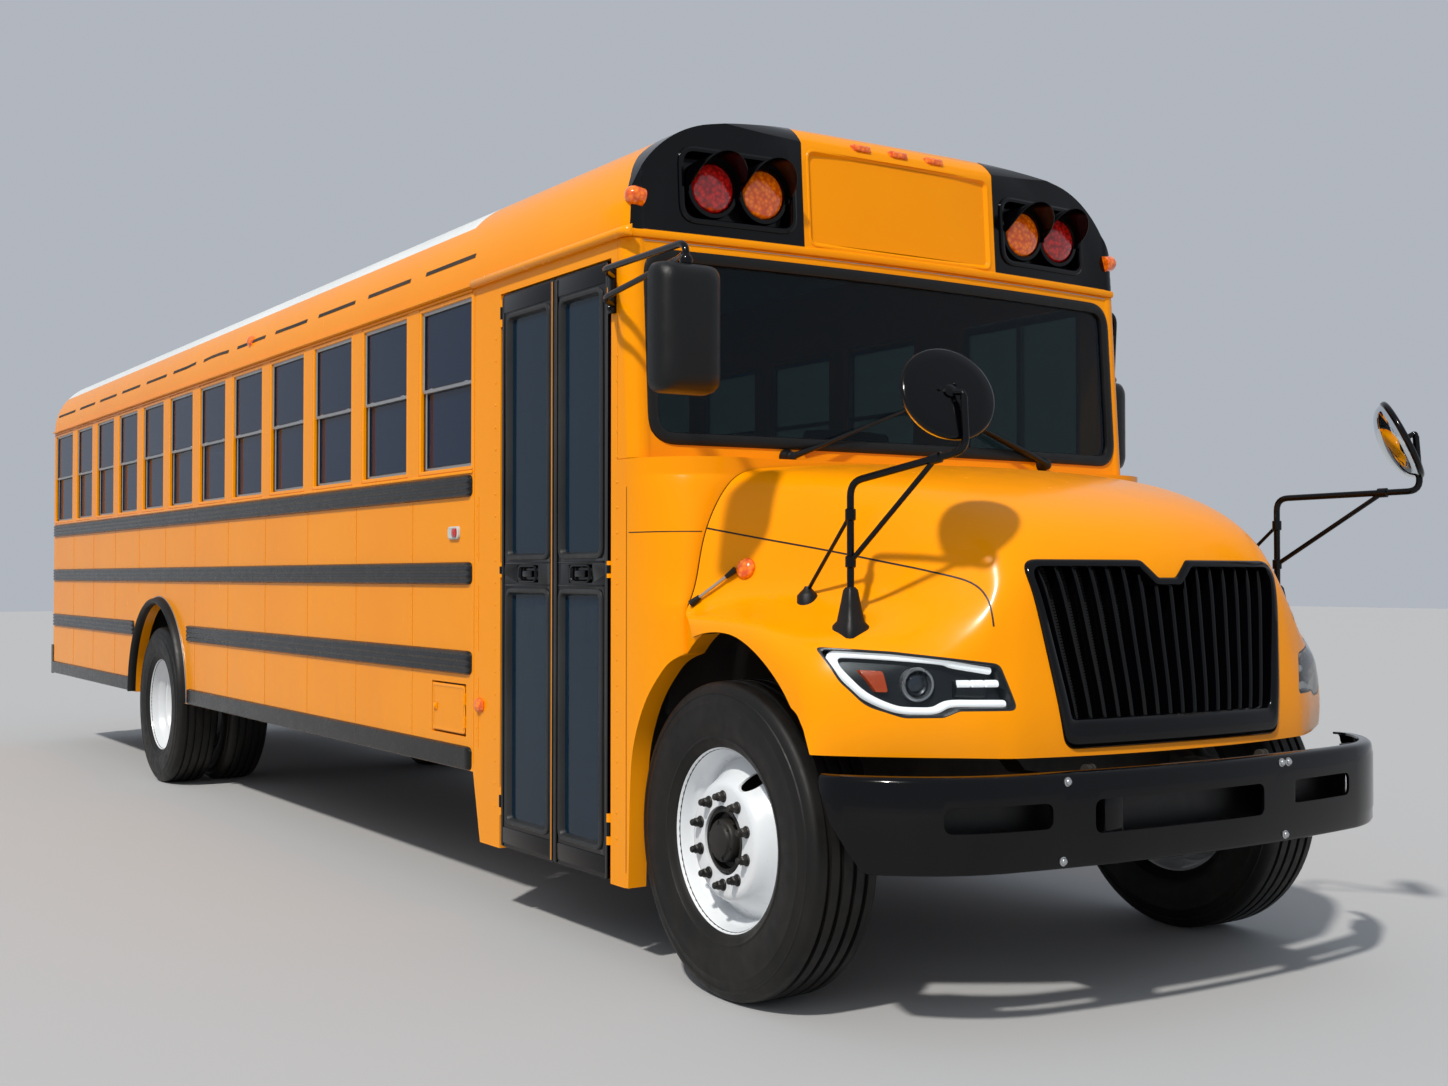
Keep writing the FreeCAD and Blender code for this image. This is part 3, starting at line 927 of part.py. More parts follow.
# cross-view mirrors: a domed dish on a braced arm that stands on each fender
CV_X, CV_Y, CV_POST_Z = 1000, -470, 1665
DISH_R = 150
DISH_PROFILE = ((0, -16), (DISH_R, -6), (DISH_R, 8), (95, 55), (0, 78))


def dish(centre, facing):
    """Shallow dome of DISH_PROFILE (radius, height) turned about an axis that points the way it faces."""
    solid = Part.Face(wire([V(r, 0, h) for r, h in DISH_PROFILE])).revolve(V(0, 0, 0), V(0, 0, 1), 360)
    solid.Placement = FreeCAD.Placement(centre, FreeCAD.Rotation(V(0, 0, 1), facing))
    return solid


def cross_view(sign, arm_end, arm_tip, centre, facing):
    x = sign * CV_X
    base = box(x - 40, x + 40, CV_Y - 45, CV_Y + 45, 1190, 1340).cut(hood_outer)
    post = bar([(x, CV_Y, 1330), (x, CV_Y, CV_POST_Z), arm_end, arm_tip], 12)
    neck = rod(arm_tip, centre, 10)
    reach = V(*arm_end) - V(x, CV_Y, CV_POST_Z)
    brace = rod((x, CV_Y, 1420), tuple(V(x, CV_Y, CV_POST_Z) + reach * 0.75), 9)
    stay_x = x - sign * 30
    stay = rod((stay_x, -205, 1320), (x, CV_Y + 5, 1560), 7)
    pad = Part.makeCylinder(35, 60, V(stay_x, -205, 1290), V(0, 0, 1)).cut(hood_outer)
    return fuse([base, post, neck, brace, dish(V(*centre), facing), stay.cut(hood_outer), pad])


save("cross_view_mirrors",
     [cross_view(-1, (-900, -890, 1742), (-884, -862, 1900), (-898, -806, 1912), V(0.22, 0.89, -0.38)),
      cross_view(1, (1100, -1000, 1675), (1105, -980, 1868), (1078, -945, 1856), V(-0.55, 0.68, -0.42))])

# ---- wipers and lamps ----------------------------------------------------------------------
wipers = []
for x, tip in ((-600, -250), (640, 320)):
    pivot = (x, FACE_Y - 14, 1828)
    arm_rod = rod(pivot, (tip, FACE_Y - 22, 1930), 8)
    hub_rod = rod(pivot, (x, FACE_Y + 60, 1828), 16)
    blade_bar = box(tip - 300, tip + 250, FACE_Y - 26, FACE_Y - 18, 1922, 1938)
    wipers.append(fuse([arm_rod, hub_rod, blade_bar]).cut(face_block(0, COWL_TOP, CAP_BOTTOM, 800)))
save("wipers", wipers)
LAMP_Z, LAMP_R = 2790, 97
cap_outer = cap_block(0)
lamps = []
for x in (650, 862):
    can = rod((x, 440, LAMP_Z), (x, 620, LAMP_Z), LAMP_R)
    visor = rod((x, 380, LAMP_Z), (x, 620, LAMP_Z), LAMP_R + 12).cut(rod((x, 300, LAMP_Z), (x, 700, LAMP_Z), LAMP_R + 4))
    visor = visor.common(box(x - 200, x + 200, 300, 700, LAMP_Z + 10, LAMP_Z + 200))
    front_lamp = fuse([can, visor]).cut(cap_outer)
    lamps += both(max(front_lamp.Solids, key=lambda s: s.Volume))
    lamps += both(rod((x, BODY_REAR_Y, LAMP_Z - 30), (x, BODY_REAR_Y + 50, LAMP_Z - 30), LAMP_R - 10))
save("warning_lamps", lamps)
markers = []
for x in (-183, 0, 183):
    markers.append(box(x - 40, x + 40, 440, 620, 3010, 3046).cut(cap_outer))
for y in (523, WHEELBASE - 1929):
    z = 2725
    markers += both(rod((HALF - 90, y + 30, z), (HALF + 12, y + 30, z), 28).cut(body_block(0, 0, 9000, 2000)))
markers += both(box(HALF, HALF + 14, 1748 - 50, 1748 + 30, 830, 862))
for x in (-183, 0, 183):
    markers.append(box(x - 40, x + 40, BODY_REAR_Y, BODY_REAR_Y + 20, 2960, 2996))
save("marker_lamps", markers)
tail = []
for z, r in ((1300, 85), (1090, 60)):
    tail += both(rod((900, BODY_REAR_Y, z), (900, BODY_REAR_Y + 30, z), r))
save("tail_lamps", tail)
hatch_y = 2600
hatch_lid = box(-330, 330, hatch_y, hatch_y + 700, ROOF_TOP - 60, ROOF_TOP + 60).cut(body_block(0, 800, 9000, 2000))
save("roof_hatch", hatch_lid)

print(len(NODES), "nodes")
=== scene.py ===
import json
import math

import bmesh
import bpy
from mathutils import Matrix, Vector
from mathutils.bvhtree import BVHTree

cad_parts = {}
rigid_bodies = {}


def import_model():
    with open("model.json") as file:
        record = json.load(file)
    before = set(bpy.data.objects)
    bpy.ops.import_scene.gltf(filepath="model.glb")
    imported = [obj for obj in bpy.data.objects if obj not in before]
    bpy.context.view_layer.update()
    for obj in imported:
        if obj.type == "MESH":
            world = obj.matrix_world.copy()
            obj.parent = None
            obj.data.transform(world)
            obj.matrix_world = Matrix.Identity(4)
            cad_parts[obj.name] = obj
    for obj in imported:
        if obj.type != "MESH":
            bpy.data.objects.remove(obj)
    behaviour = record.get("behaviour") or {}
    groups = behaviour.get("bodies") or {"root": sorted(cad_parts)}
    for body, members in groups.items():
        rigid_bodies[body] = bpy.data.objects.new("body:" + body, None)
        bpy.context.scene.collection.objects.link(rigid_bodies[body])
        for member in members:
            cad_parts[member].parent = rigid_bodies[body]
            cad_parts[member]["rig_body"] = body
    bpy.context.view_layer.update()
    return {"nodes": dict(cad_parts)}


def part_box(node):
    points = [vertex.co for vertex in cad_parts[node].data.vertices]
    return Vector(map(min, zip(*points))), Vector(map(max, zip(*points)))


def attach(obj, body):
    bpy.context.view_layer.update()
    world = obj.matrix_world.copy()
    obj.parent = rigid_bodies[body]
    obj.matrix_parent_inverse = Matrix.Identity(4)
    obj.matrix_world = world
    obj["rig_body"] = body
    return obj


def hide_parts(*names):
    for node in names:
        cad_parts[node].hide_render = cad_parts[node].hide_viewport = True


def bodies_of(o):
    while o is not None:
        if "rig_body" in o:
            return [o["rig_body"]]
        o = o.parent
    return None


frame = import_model()

# ---- Camera, floor and light -----------------------------------------------------------------
# The bus stands on a pale studio floor and is seen from the height of a child's eyes,
# ahead of the front right corner, with a low key light and a bright sky.
EYE = Vector((-4.094, -9.204, 1.375))
YAW, PITCH = math.radians(33.07), math.radians(1.16)
look = Vector((math.sin(YAW) * math.cos(PITCH), math.cos(YAW) * math.cos(PITCH), math.sin(PITCH)))
camera = bpy.data.objects.new("camera", bpy.data.cameras.new("camera"))
camera.location = EYE
camera.rotation_euler = look.to_track_quat("-Z", "Y").to_euler()
camera.data.lens = 41.05
camera.data.sensor_width = 36
camera.data.clip_end = 200
bpy.context.scene.collection.objects.link(camera)
bpy.context.scene.camera = camera
bpy.context.scene.view_settings.view_transform = "Standard"


def tint(rgb):
    """Linear colour from a paint chart's 0-255 values."""
    return tuple(((c / 255 + 0.055) / 1.055) ** 2.4 if c > 10 else c / 255 / 12.92 for c in rgb) + (1.0,)


world = bpy.data.worlds.new("sky")
bpy.context.scene.world = world
world.use_nodes = True
sky_nodes, sky_links = world.node_tree.nodes, world.node_tree.links
sky = sky_nodes["Background"]
direction = sky_nodes.new("ShaderNodeTexCoord")
upward = sky_nodes.new("ShaderNodeSeparateXYZ")
sky_links.new(direction.outputs["Generated"], upward.inputs["Vector"])
rise = sky_nodes.new("ShaderNodeValToRGB")
rise.color_ramp.elements[0].position, rise.color_ramp.elements[0].color = 0.0, (0.20, 0.22, 0.25, 1)
rise.color_ramp.elements[1].position, rise.color_ramp.elements[1].color = 0.75, (0.80, 0.90, 1.0, 1)
sky_links.new(upward.outputs["Z"], rise.inputs["Fac"])
sky_links.new(rise.outputs["Color"], sky.inputs["Color"])
sky.inputs["Strength"].default_value = 0.62

# Camera, transmission and glossy rays see the sky as one plain colour.
rays = sky_nodes.new("ShaderNodeLightPath")
seen = rays.outputs["Is Camera Ray"]
for kind in ("Is Transmission Ray", "Is Glossy Ray"):
    either = sky_nodes.new("ShaderNodeMath")
    either.operation = "MAXIMUM"
    sky_links.new(seen, either.inputs[0])
    sky_links.new(rays.outputs[kind], either.inputs[1])
    seen = either.outputs[0]
plain_sky = sky_nodes.new("ShaderNodeBackground")
plain_sky.inputs["Color"].default_value = (0.44, 0.47, 0.52, 1)
plain_sky.inputs["Strength"].default_value = 1.0
blend = sky_nodes.new("ShaderNodeMixShader")
for socket, output in zip(blend.inputs, (seen, sky.outputs[0], plain_sky.outputs[0])):
    sky_links.new(output, socket)
sky_links.new(blend.outputs[0], sky_nodes["World Output"].inputs["Surface"])

floor_bm = bmesh.new()
bmesh.ops.create_grid(floor_bm, x_segments=1, y_segments=1, size=60)
floor_mesh = bpy.data.meshes.new("studio_floor")
floor_bm.to_mesh(floor_mesh)
floor_bm.free()
studio_floor = bpy.data.objects.new("studio_floor", floor_mesh)
bpy.context.scene.collection.objects.link(studio_floor)
floor_paint = bpy.data.materials.new("studio_floor")
floor_paint.use_nodes = True
floor_paint.node_tree.nodes["Principled BSDF"].inputs["Base Color"].default_value = (0.44, 0.44, 0.445, 1)
floor_paint.node_tree.nodes["Principled BSDF"].inputs["Roughness"].default_value = 0.85
floor_mesh.materials.append(floor_paint)

key = bpy.data.objects.new("key_sun", bpy.data.lights.new("key_sun", "SUN"))
key.data.energy = 3.1
key.data.angle = math.radians(3)
key.data.color = (1.0, 0.96, 0.9)
key.rotation_euler = Vector((0.56, 0.36, -0.75)).to_track_quat("-Z", "Y").to_euler()
bpy.context.scene.collection.objects.link(key)
front_fill = bpy.data.objects.new("front_fill", bpy.data.lights.new("front_fill", "AREA"))
front_fill.data.energy = 260
front_fill.data.size = 9
front_fill.location = (-9, -14, 6)
front_fill.rotation_euler = (Vector((0, -3, 1)) - front_fill.location).to_track_quat("-Z", "Y").to_euler()
bpy.context.scene.collection.objects.link(front_fill)
front_fill.visible_glossy = False

# ---- Hood ------------------------------------------------------------------------------------
# One moulded shell that carries the fenders, painted yellow, with openings for the wheels, the
# grille and the headlamps. A cage of measured points is subdivided and given a wall.

class Net:
    """Node tree of one material: its principled shader, fed from object coordinates in metres."""

    def __init__(self, name):
        self.material = bpy.data.materials.new(name)
        self.material.use_nodes = True
        self.tree = self.material.node_tree
        self.place = self.tree.nodes.new("ShaderNodeTexCoord").outputs["Object"]
        self.shader = self.tree.nodes["Principled BSDF"]

    def add(self, kind, values, **settings):
        node = self.tree.nodes.new("ShaderNode" + kind)
        for key, value in settings.items():
            setattr(node, key, value)
        self.feed(values, node)
        return node

    def feed(self, values, node=None):
        """Sets or links inputs: each value is a number, a colour or another node's output."""
        for key, value in values.items():
            socket = (node or self.shader).inputs[key]
            if isinstance(value, bpy.types.NodeSocket):
                self.tree.links.new(value, socket)
            else:
                socket.default_value = value

    def noise(self, scale, detail=3.0, stretch=(1, 1, 1)):
        """A noise value between about 0.3 and 0.7 whose features are 1 / scale metres across."""
        mapping = self.add("Mapping", {"Scale": stretch, "Vector": self.place})
        values = {"Scale": scale, "Detail": detail, "Vector": mapping.outputs["Vector"]}
        return self.add("TexNoise", values).outputs["Fac"]

    def ramp(self, value, low, high, to_low=0.0, to_high=1.0):
        """value stretched from low..high to to_low..to_high, and clamped."""
        ends = {"From Min": low, "From Max": high, "To Min": to_low, "To Max": to_high}
        return self.add("MapRange", {**ends, "Value": value}).outputs["Result"]

    def mix(self, share, first, second):
        values = {"Factor": share, "A": first, "B": second}
        return self.add("Mix", values, data_type="RGBA").outputs["Result"]

    def times(self, first, second):
        return self.add("Math", {0: first, 1: second}, operation="MULTIPLY").outputs[0]

    def axis(self, name):
        return self.add("SeparateXYZ", {"Vector": self.place}).outputs[name]

    def bump(self, value, depth):
        relief = self.add("Bump", {"Distance": depth, "Height": value})
        self.feed({"Normal": relief.outputs["Normal"]})


def body_paint():
    """Two-tone bus paint: yellow, with a white roof cap behind the first window, and dusty skirts."""
    net = Net("bus_paint")
    patches = net.ramp(net.noise(0.9, 3.0), 0.3, 0.75)
    yellow = net.mix(patches, tint(BUS_YELLOW), tint((238, 143, 0)))
    level = net.ramp(net.axis("Z"), 1.15, 0.5)
    streaks = net.ramp(net.noise(5.0, 6.0, (1, 1, 0.3)), 0.35, 0.7)
    yellow = net.mix(net.times(net.times(level, streaks), 0.10), yellow, tint((168, 140, 96)))
    high = net.ramp(net.axis("Z"), WHITE_FROM_Z - 0.0005, WHITE_FROM_Z + 0.0005)
    back = net.ramp(net.axis("Y"), frame_y(WHITE_FROM) - 0.0005, frame_y(WHITE_FROM) + 0.0005)
    white = net.mix(patches, tint((236, 238, 236)), tint((222, 225, 224)))
    net.feed({"Base Color": net.mix(net.times(high, back), yellow, white),
              "Roughness": net.ramp(net.noise(14.0, 5.0), 0.3, 0.75, 0.20, 0.28),
              "Specular IOR Level": 0.11, "Coat Weight": 0.08, "Coat Roughness": 0.05})
    net.bump(net.noise(3.0, 2.0), 0.0004)
    return net.material


BUS_YELLOW = (244, 150, 0)
WHITE_FROM, WHITE_FROM_Z = 2030, 2.88
tyre_low, tyre_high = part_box("front_right_tyre")
FRONT_AXLE = (tyre_low.y + tyre_high.y) / 2


def frame_y(station):
    """y of a station in millimetres behind the front axle."""
    return FRONT_AXLE + station / 1000


paint = body_paint()


def new_object(name, bm, material, body="root", smooth=40, stands_for=None):
    """An object from bm, shaded smooth up to an angle in degrees, riding on body."""
    bmesh.ops.recalc_face_normals(bm, faces=bm.faces)
    for face in bm.faces:
        face.smooth = smooth > 0
    for edge in bm.edges:
        edge.smooth = len(edge.link_faces) == 2 and edge.calc_face_angle(0.0) < math.radians(smooth)
    obj = stand_in(name, bm)
    obj.data.materials.append(material)
    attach(obj, body)
    if stands_for:
        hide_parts(stands_for)
    return obj


# The cage has seven rows from the windshield to the nose and four down the nose, each of ten
# points from the centre line out round the fender: x, station and height in millimetres.
HOOD_ROWS = (
    ((0, 252, 1787), (430, 252, 1780), (790, 252, 1758), (962, 252, 1705), (1063, 252, 1540), (1100, 252, 1385),
     (1128, 252, 1296), (1158, 236, 1250), (1190, 160, 1214), (1198, 110, 1100)),
    ((0, 40, 1776), (410, 40, 1768), (735, 40, 1742), (888, 40, 1672), (972, 40, 1500), (1016, 40, 1362),
     (1068, 40, 1292), (1140, 40, 1252), (1192, 40, 1205), (1200, 40, 1080)),
    ((0, -190, 1748), (390, -190, 1739), (680, -190, 1708), (820, -190, 1632), (897, -190, 1462), (950, -190, 1338),
     (1030, -190, 1276), (1124, -190, 1238), (1186, -205, 1185), (1197, -215, 1060)),
    ((0, -390, 1706), (365, -390, 1695), (625, -390, 1660), (755, -390, 1580), (824, -390, 1424), (882, -390, 1312),
     (975, -380, 1250), (1090, -362, 1212), (1176, -345, 1150), (1192, -335, 1020)),
    ((0, -570, 1644), (345, -570, 1632), (585, -568, 1594), (695, -565, 1515), (758, -562, 1390), (822, -558, 1290),
     (925, -535, 1226), (1062, -485, 1188), (1166, -425, 1118), (1188, -400, 985)),
    ((0, -712, 1564), (325, -708, 1552), (555, -698, 1515), (650, -688, 1446), (700, -682, 1356), (770, -672, 1264),
     (882, -630, 1192), (1030, -560, 1150), (1158, -478, 1080), (1184, -440, 960)),
    ((0, -786, 1484), (318, -778, 1473), (540, -762, 1440), (634, -750, 1384), (688, -746, 1304), (762, -730, 1214),
     (880, -680, 1140), (1030, -596, 1100), (1152, -505, 1042), (1182, -458, 935)),
    ((0, -830, 1375), (315, -822, 1366), (548, -804, 1340), (640, -788, 1292), (696, -780, 1224), (766, -758, 1152),
     (884, -702, 1092), (1032, -614, 1052), (1148, -520, 1004), (1180, -470, 915)),
    ((0, -860, 1180), (320, -852, 1176), (556, -830, 1160), (648, -814, 1130), (704, -798, 1092), (774, -770, 1050),
     (890, -712, 1002), (1036, -622, 972), (1146, -530, 945), (1179, -480, 890)),
    ((0, -886, 990), (330, -876, 988), (562, -850, 980), (655, -834, 964), (711, -814, 948), (780, -782, 930),
     (894, -716, 908), (1038, -624, 896), (1146, -532, 886), (1178, -490, 865)),
    ((0, -894, 826), (340, -882, 827), (566, -856, 829), (660, -838, 830), (716, -814, 831), (786, -778, 833),
     (900, -708, 835), (1042, -616, 838), (1148, -528, 840), (1178, -500, 842)),
)

HOOD_WALL = 0.014


def spot(point, side=1):
    return Vector((side * point[0] / 1000, frame_y(point[1]), point[2] / 1000))


def stand_in(name, bm):
    """An object from a bmesh, which is used up."""
    mesh = bpy.data.meshes.new(name)
    bm.to_mesh(mesh)
    bm.free()
    obj = bpy.data.objects.new(name, mesh)
    bpy.context.scene.collection.objects.link(obj)
    return obj


def settled(obj):
    """The bmesh that an object's modifiers leave. The object is used up."""
    bpy.context.view_layer.update()
    mesh = bpy.data.meshes.new_from_object(obj.evaluated_get(bpy.context.evaluated_depsgraph_get()))
    bpy.data.objects.remove(obj)
    result = bmesh.new()
    result.from_mesh(mesh)
    return result


def through_points(cage, levels):
    """Subdivides a cage after moving its corners until the smooth surface passes through where they were."""
    aim = [v.co.copy() for v in cage.verts]
    obj = stand_in("hood_cage", cage)
    smooth = obj.modifiers.new("smooth", "SUBSURF")
    smooth.levels = smooth.render_levels = 1
    smooth.boundary_smooth = "PRESERVE_CORNERS"
    for _ in range(9):
        bpy.context.view_layer.update()
        shown = obj.evaluated_get(bpy.context.evaluated_depsgraph_get()).to_mesh()
        for vertex, target, now in zip(obj.data.vertices, aim, shown.vertices):
            vertex.co += (target - now.co) * 0.9
        obj.to_mesh_clear()
        obj.data.update()
    smooth.levels = smooth.render_levels = levels
    return settled(obj)


def sheet_of_rows(rows):
    """Quad cage over a grid of points, mirrored across the centre line."""
    cage = bmesh.new()
    grid = []
    for row in rows:
        right = [cage.verts.new(spot(p, -1)) for p in reversed(row)]
        grid.append(right + [cage.verts.new(spot(p)) for p in row[1:]])
    for upper, lower in zip(grid, grid[1:]):
        for corners in zip(upper, upper[1:], lower[1:], lower):
            cage.faces.new(corners)
    return cage


def thick(bm, depth):
    """A closed shell from an open skin: its back is depth behind its face."""
    bmesh.ops.recalc_face_normals(bm, faces=bm.faces)
    if sum(f.normal.z for f in bm.faces) < 0:
        bmesh.ops.reverse_faces(bm, faces=bm.faces)
    front = list(bm.faces)
    for vertex in bm.verts:
        vertex.normal_update()
    normals = {v: v.normal.copy() for v in bm.verts}
    copy = bmesh.ops.duplicate(bm, geom=list(bm.verts) + list(bm.edges) + front)
    twins = {v: copy["vert_map"][v] for v in normals}
    for original, twin in twins.items():
        twin.co = original.co - normals[original] * depth
    bmesh.ops.reverse_faces(bm, faces=[f for f in copy["geom"] if isinstance(f, bmesh.types.BMFace)])
    for corner in [c for f in front for c in f.loops if len(c.edge.link_faces) == 1]:
        a, b = corner.vert, corner.link_loop_next.vert
        bm.faces.new((b, a, twins[a], twins[b]))
    return bm


def cutter(outline, axis, low, high):
    """Closed prism for cutting: outline points in metres on the plane across axis."""
    bm = bmesh.new()
    place = {"x": lambda u, v, w: (w, u, v), "y": lambda u, v, w: (u, w, v)}[axis]
    rings = [[bm.verts.new(place(u, v, depth)) for u, v in outline] for depth in (low, high)]
    bm.faces.new(rings[0])
    bm.faces.new(list(reversed(rings[1])))
    for k in range(len(outline)):
        n = (k + 1) % len(outline)
        bm.faces.new((rings[0][k], rings[1][k], rings[1][n], rings[0][n]))
    bmesh.ops.recalc_face_normals(bm, faces=bm.faces)
    return stand_in("cutter", bm)


def carve(bm, tools, keep=False):
    """bm with the tool objects cut away, or with only what is inside them kept. The tools are used up."""
    obj = stand_in("carving", bm)
    for tool in tools:
        cut = obj.modifiers.new("cut", "BOOLEAN")
        cut.operation = "INTERSECT" if keep else "DIFFERENCE"
        cut.solver = "EXACT"
        cut.object = tool
    carved = settled(obj)
    for tool in tools:
        bpy.data.objects.remove(tool)
    return carved


def rounded_outline(corners, radius, steps=5):
    """Outline through corners (u, v), each rounded by radius or by its own third number."""
    points = []
    count = len(corners)
    for k in range(count):
        here, before, after = (Vector(corners[i % count][:2]) for i in (k, k - 1, k + 1))
        r = corners[k][2] if len(corners[k]) > 2 else radius
        a, b = (before - here).normalized(), (after - here).normalized()
        run = min(r / math.tan(a.angle(b) / 2), (before - here).length * 0.48, (after - here).length * 0.48)
        start, end = here + a * run, here + b * run
        for t in [i / steps for i in range(steps + 1)]:
            points.append(tuple((1 - t) ** 2 * start + 2 * t * (1 - t) * here + t * t * end))
    return points


def smooth_path(points, steps=6):
    """Points of a curve through the given ones."""
    path = []
    last = len(points) - 1
    for k in range(last):
        p0, p1, p2, p3 = (Vector(points[min(max(i, 0), last)]) for i in (k - 1, k, k + 1, k + 2))
        for t in [i / steps for i in range(steps)]:
            path.append(tuple(0.5 * ((2 * p1) + (p2 - p0) * t + (2 * p0 - 5 * p1 + 4 * p2 - p3) * t * t
                                     + (3 * p1 - p0 - 3 * p2 + p3) * t ** 3)))
    return path + [tuple(points[-1])]


def mirrored(outline, side):
    return [(side * u, v) for u, v in outline]


WHEEL_ARCH = ((520, 300), (508, 640), (494, 760), (460, 860), (410, 955), (340, 1045), (252, 1116), (165, 1162),
              (70, 1188), (-30, 1194), (-120, 1182), (-215, 1146), (-300, 1094), (-372, 1030), (-428, 960),
              (-474, 890), (-512, 815), (-540, 740), (-560, 300))
GRILLE_CORNERS = [(-0.575, 1.425, 0.05), (-0.482, 0.862, 0.045), (0.482, 0.862, 0.045), (0.575, 1.425, 0.05),
                  (0.11, 1.425, 0.03), (0.045, 1.368, 0.03), (-0.045, 1.368, 0.03), (-0.11, 1.425, 0.03)]
LAMP_CORNERS = [(1.126, 1.162, 0.02), (0.955, 1.149, 0.10), (0.690, 1.112, 0.03), (0.648, 0.972, 0.02),
                (0.812, 0.972, 0.03), (0.855, 0.953, 0.03), (0.958, 0.952, 0.08), (1.052, 0.988, 0.09),
                (1.106, 1.060, 0.08), (1.122, 1.126, 0.04)]

hood_surface = through_points(sheet_of_rows(HOOD_ROWS), 4)
nose_tree = BVHTree.FromBMesh(hood_surface)
arch_outline = smooth_path([Vector((frame_y(y), z / 1000)) for y, z in WHEEL_ARCH], 4)
tools = [cutter(arch_outline, "x", -1.4, 1.4),
         cutter(rounded_outline(GRILLE_CORNERS, 0.03), "y", frame_y(-1100), frame_y(-560))]
for side in (-1, 1):
    tools.append(cutter(mirrored(rounded_outline(LAMP_CORNERS, 0.03), side), "y", frame_y(-1000), frame_y(-330)))
shell = carve(thick(hood_surface.copy(), HOOD_WALL), tools)
new_object("hood_shell", shell, paint, "hood", stands_for="hood")

# ---- Grille ----------------------------------------------------------------------------------
# The frame is a moulded ring that follows the nose, deeper along its foot, round sixteen blades
# that lean with its sides. A fin-pressed dark core stands behind them.

def finish(name, rgb, rough=0.4, metal=0.0, coat=0.0, drift=0.06, grain=900, depth=0.0002, film=0.0,
           film_top=0.9, second=None, stretch=(1, 1, 1), gloss=0.5):
    """A solid finish. It drifts to second, a worn colour, and film is how much road dust it carries."""
    net = Net(name)
    base = tint(rgb)
    other = tint(second) if second else tuple(min(1, c * (1 - 2.4 * drift)) for c in base[:3]) + (1.0,)
    colour = net.mix(net.ramp(net.noise(1.7, 4.0), 0.35, 0.72), base, other)
    if film:
        level = net.ramp(net.axis("Z"), film_top, 0.25)
        streaks = net.ramp(net.noise(6.0, 6.0, (1, 1, 0.35)), 0.32, 0.7)
        colour = net.mix(net.times(net.times(level, streaks), film), colour, tint((128, 116, 98)))
    fine = net.noise(grain, 2.0, stretch)
    uneven = net.ramp(net.noise(23.0, 5.0), 0.3, 0.75, rough * 0.88, min(1.0, rough * 1.22))
    net.feed({"Base Color": colour, "Roughness": uneven, "Metallic": metal, "Coat Weight": coat,
              "Coat Roughness": 0.06, "Specular IOR Level": gloss})
    net.bump(fine, depth)
    return net.material


bumper_gloss = finish("bumper_gloss", (3, 3, 5), 0.14, coat=0.3, drift=0.08, grain=350, depth=0.0001, film=0.03,
                      film_top=0.75, gloss=0.1)


def skirt(bm, rings, closed=True, ring=False, ends=False):
    """Faces between rings of points that match one to one; ring joins the last to the first, ends caps both."""
    loops = [[bm.verts.new(p) for p in points] for points in rings]
    for first, second in zip(loops, loops[1:] + loops[:1] if ring else loops[1:]):
        for k in range(len(first) if closed else len(first) - 1):
            n = (k + 1) % len(first)
            bm.faces.new((first[k], first[n], second[n], second[k]))
    if ends:
        bm.faces.new(loops[0])
        bm.faces.new(list(reversed(loops[-1])))
    return loops


GRILLE_INNER = [(-0.552, 1.402, 0.035), (-0.458, 0.940, 0.03), (0.458, 0.940, 0.03), (0.552, 1.402, 0.035),
                (0.122, 1.402, 0.02), (0.058, 1.344, 0.02), (-0.058, 1.344, 0.02), (-0.122, 1.402, 0.02)]
# How far from the outer to the inner outline, and how far out of the hood's skin.
GRILLE_SECTION = ((-0.2, -0.03), (-0.16, 0.002), (-0.08, 0.010), (0.15, 0.013), (0.75, 0.011), (0.95, 0.004),
                  (1.0, -0.006), (1.0, -0.06), (0.4, -0.06))
BLADES = 16
BLADE_SECTION = ((-0.0085, 0.05), (-0.0085, 0.012), (-0.0066, 0.005), (-0.003, 0.001), (0.003, 0.001),
                 (0.0066, 0.005), (0.0085, 0.012), (0.0085, 0.05))
BLADE_FOOT = 0.925


def nose_y(x, z):
    """y of the hood's skin in front of (x, z)."""
    found = nose_tree.ray_cast(Vector((x, frame_y(-1500), z)), Vector((0, 1, 0)))[0]
    return found.y if found else frame_y(-560)


def on_nose(x, z, back):
    return Vector((x, nose_y(x, z) + back, z))


def followed(corners, extra):
    """A rounded outline with extra points along its straight runs, so that it can follow a curved skin."""
    steps = 6
    outline = rounded_outline(corners, 0.03, steps)
    points = []
    for k, point in enumerate(outline):
        points.append(point)
        if k % (steps + 1) == steps:
            ahead = outline[(k + 1) % len(outline)]
            points += [tuple(a + (b - a) * i / (extra + 1) for a, b in zip(point, ahead)) for i in range(1, extra + 1)]
    return points


rings = []
for share, proud in GRILLE_SECTION:
    corners = [tuple(a + (b - a) * share for a, b in zip(p, q)) for p, q in zip(GRILLE_CORNERS, GRILLE_INNER)]
    rings.append([on_nose(x, z, -proud) for x, z in followed(corners, 14)])
bm = bmesh.new()
skirt(bm, rings, ring=True)
new_object("grille_frame", bm, bumper_gloss, "hood", 50, stands_for="grille")

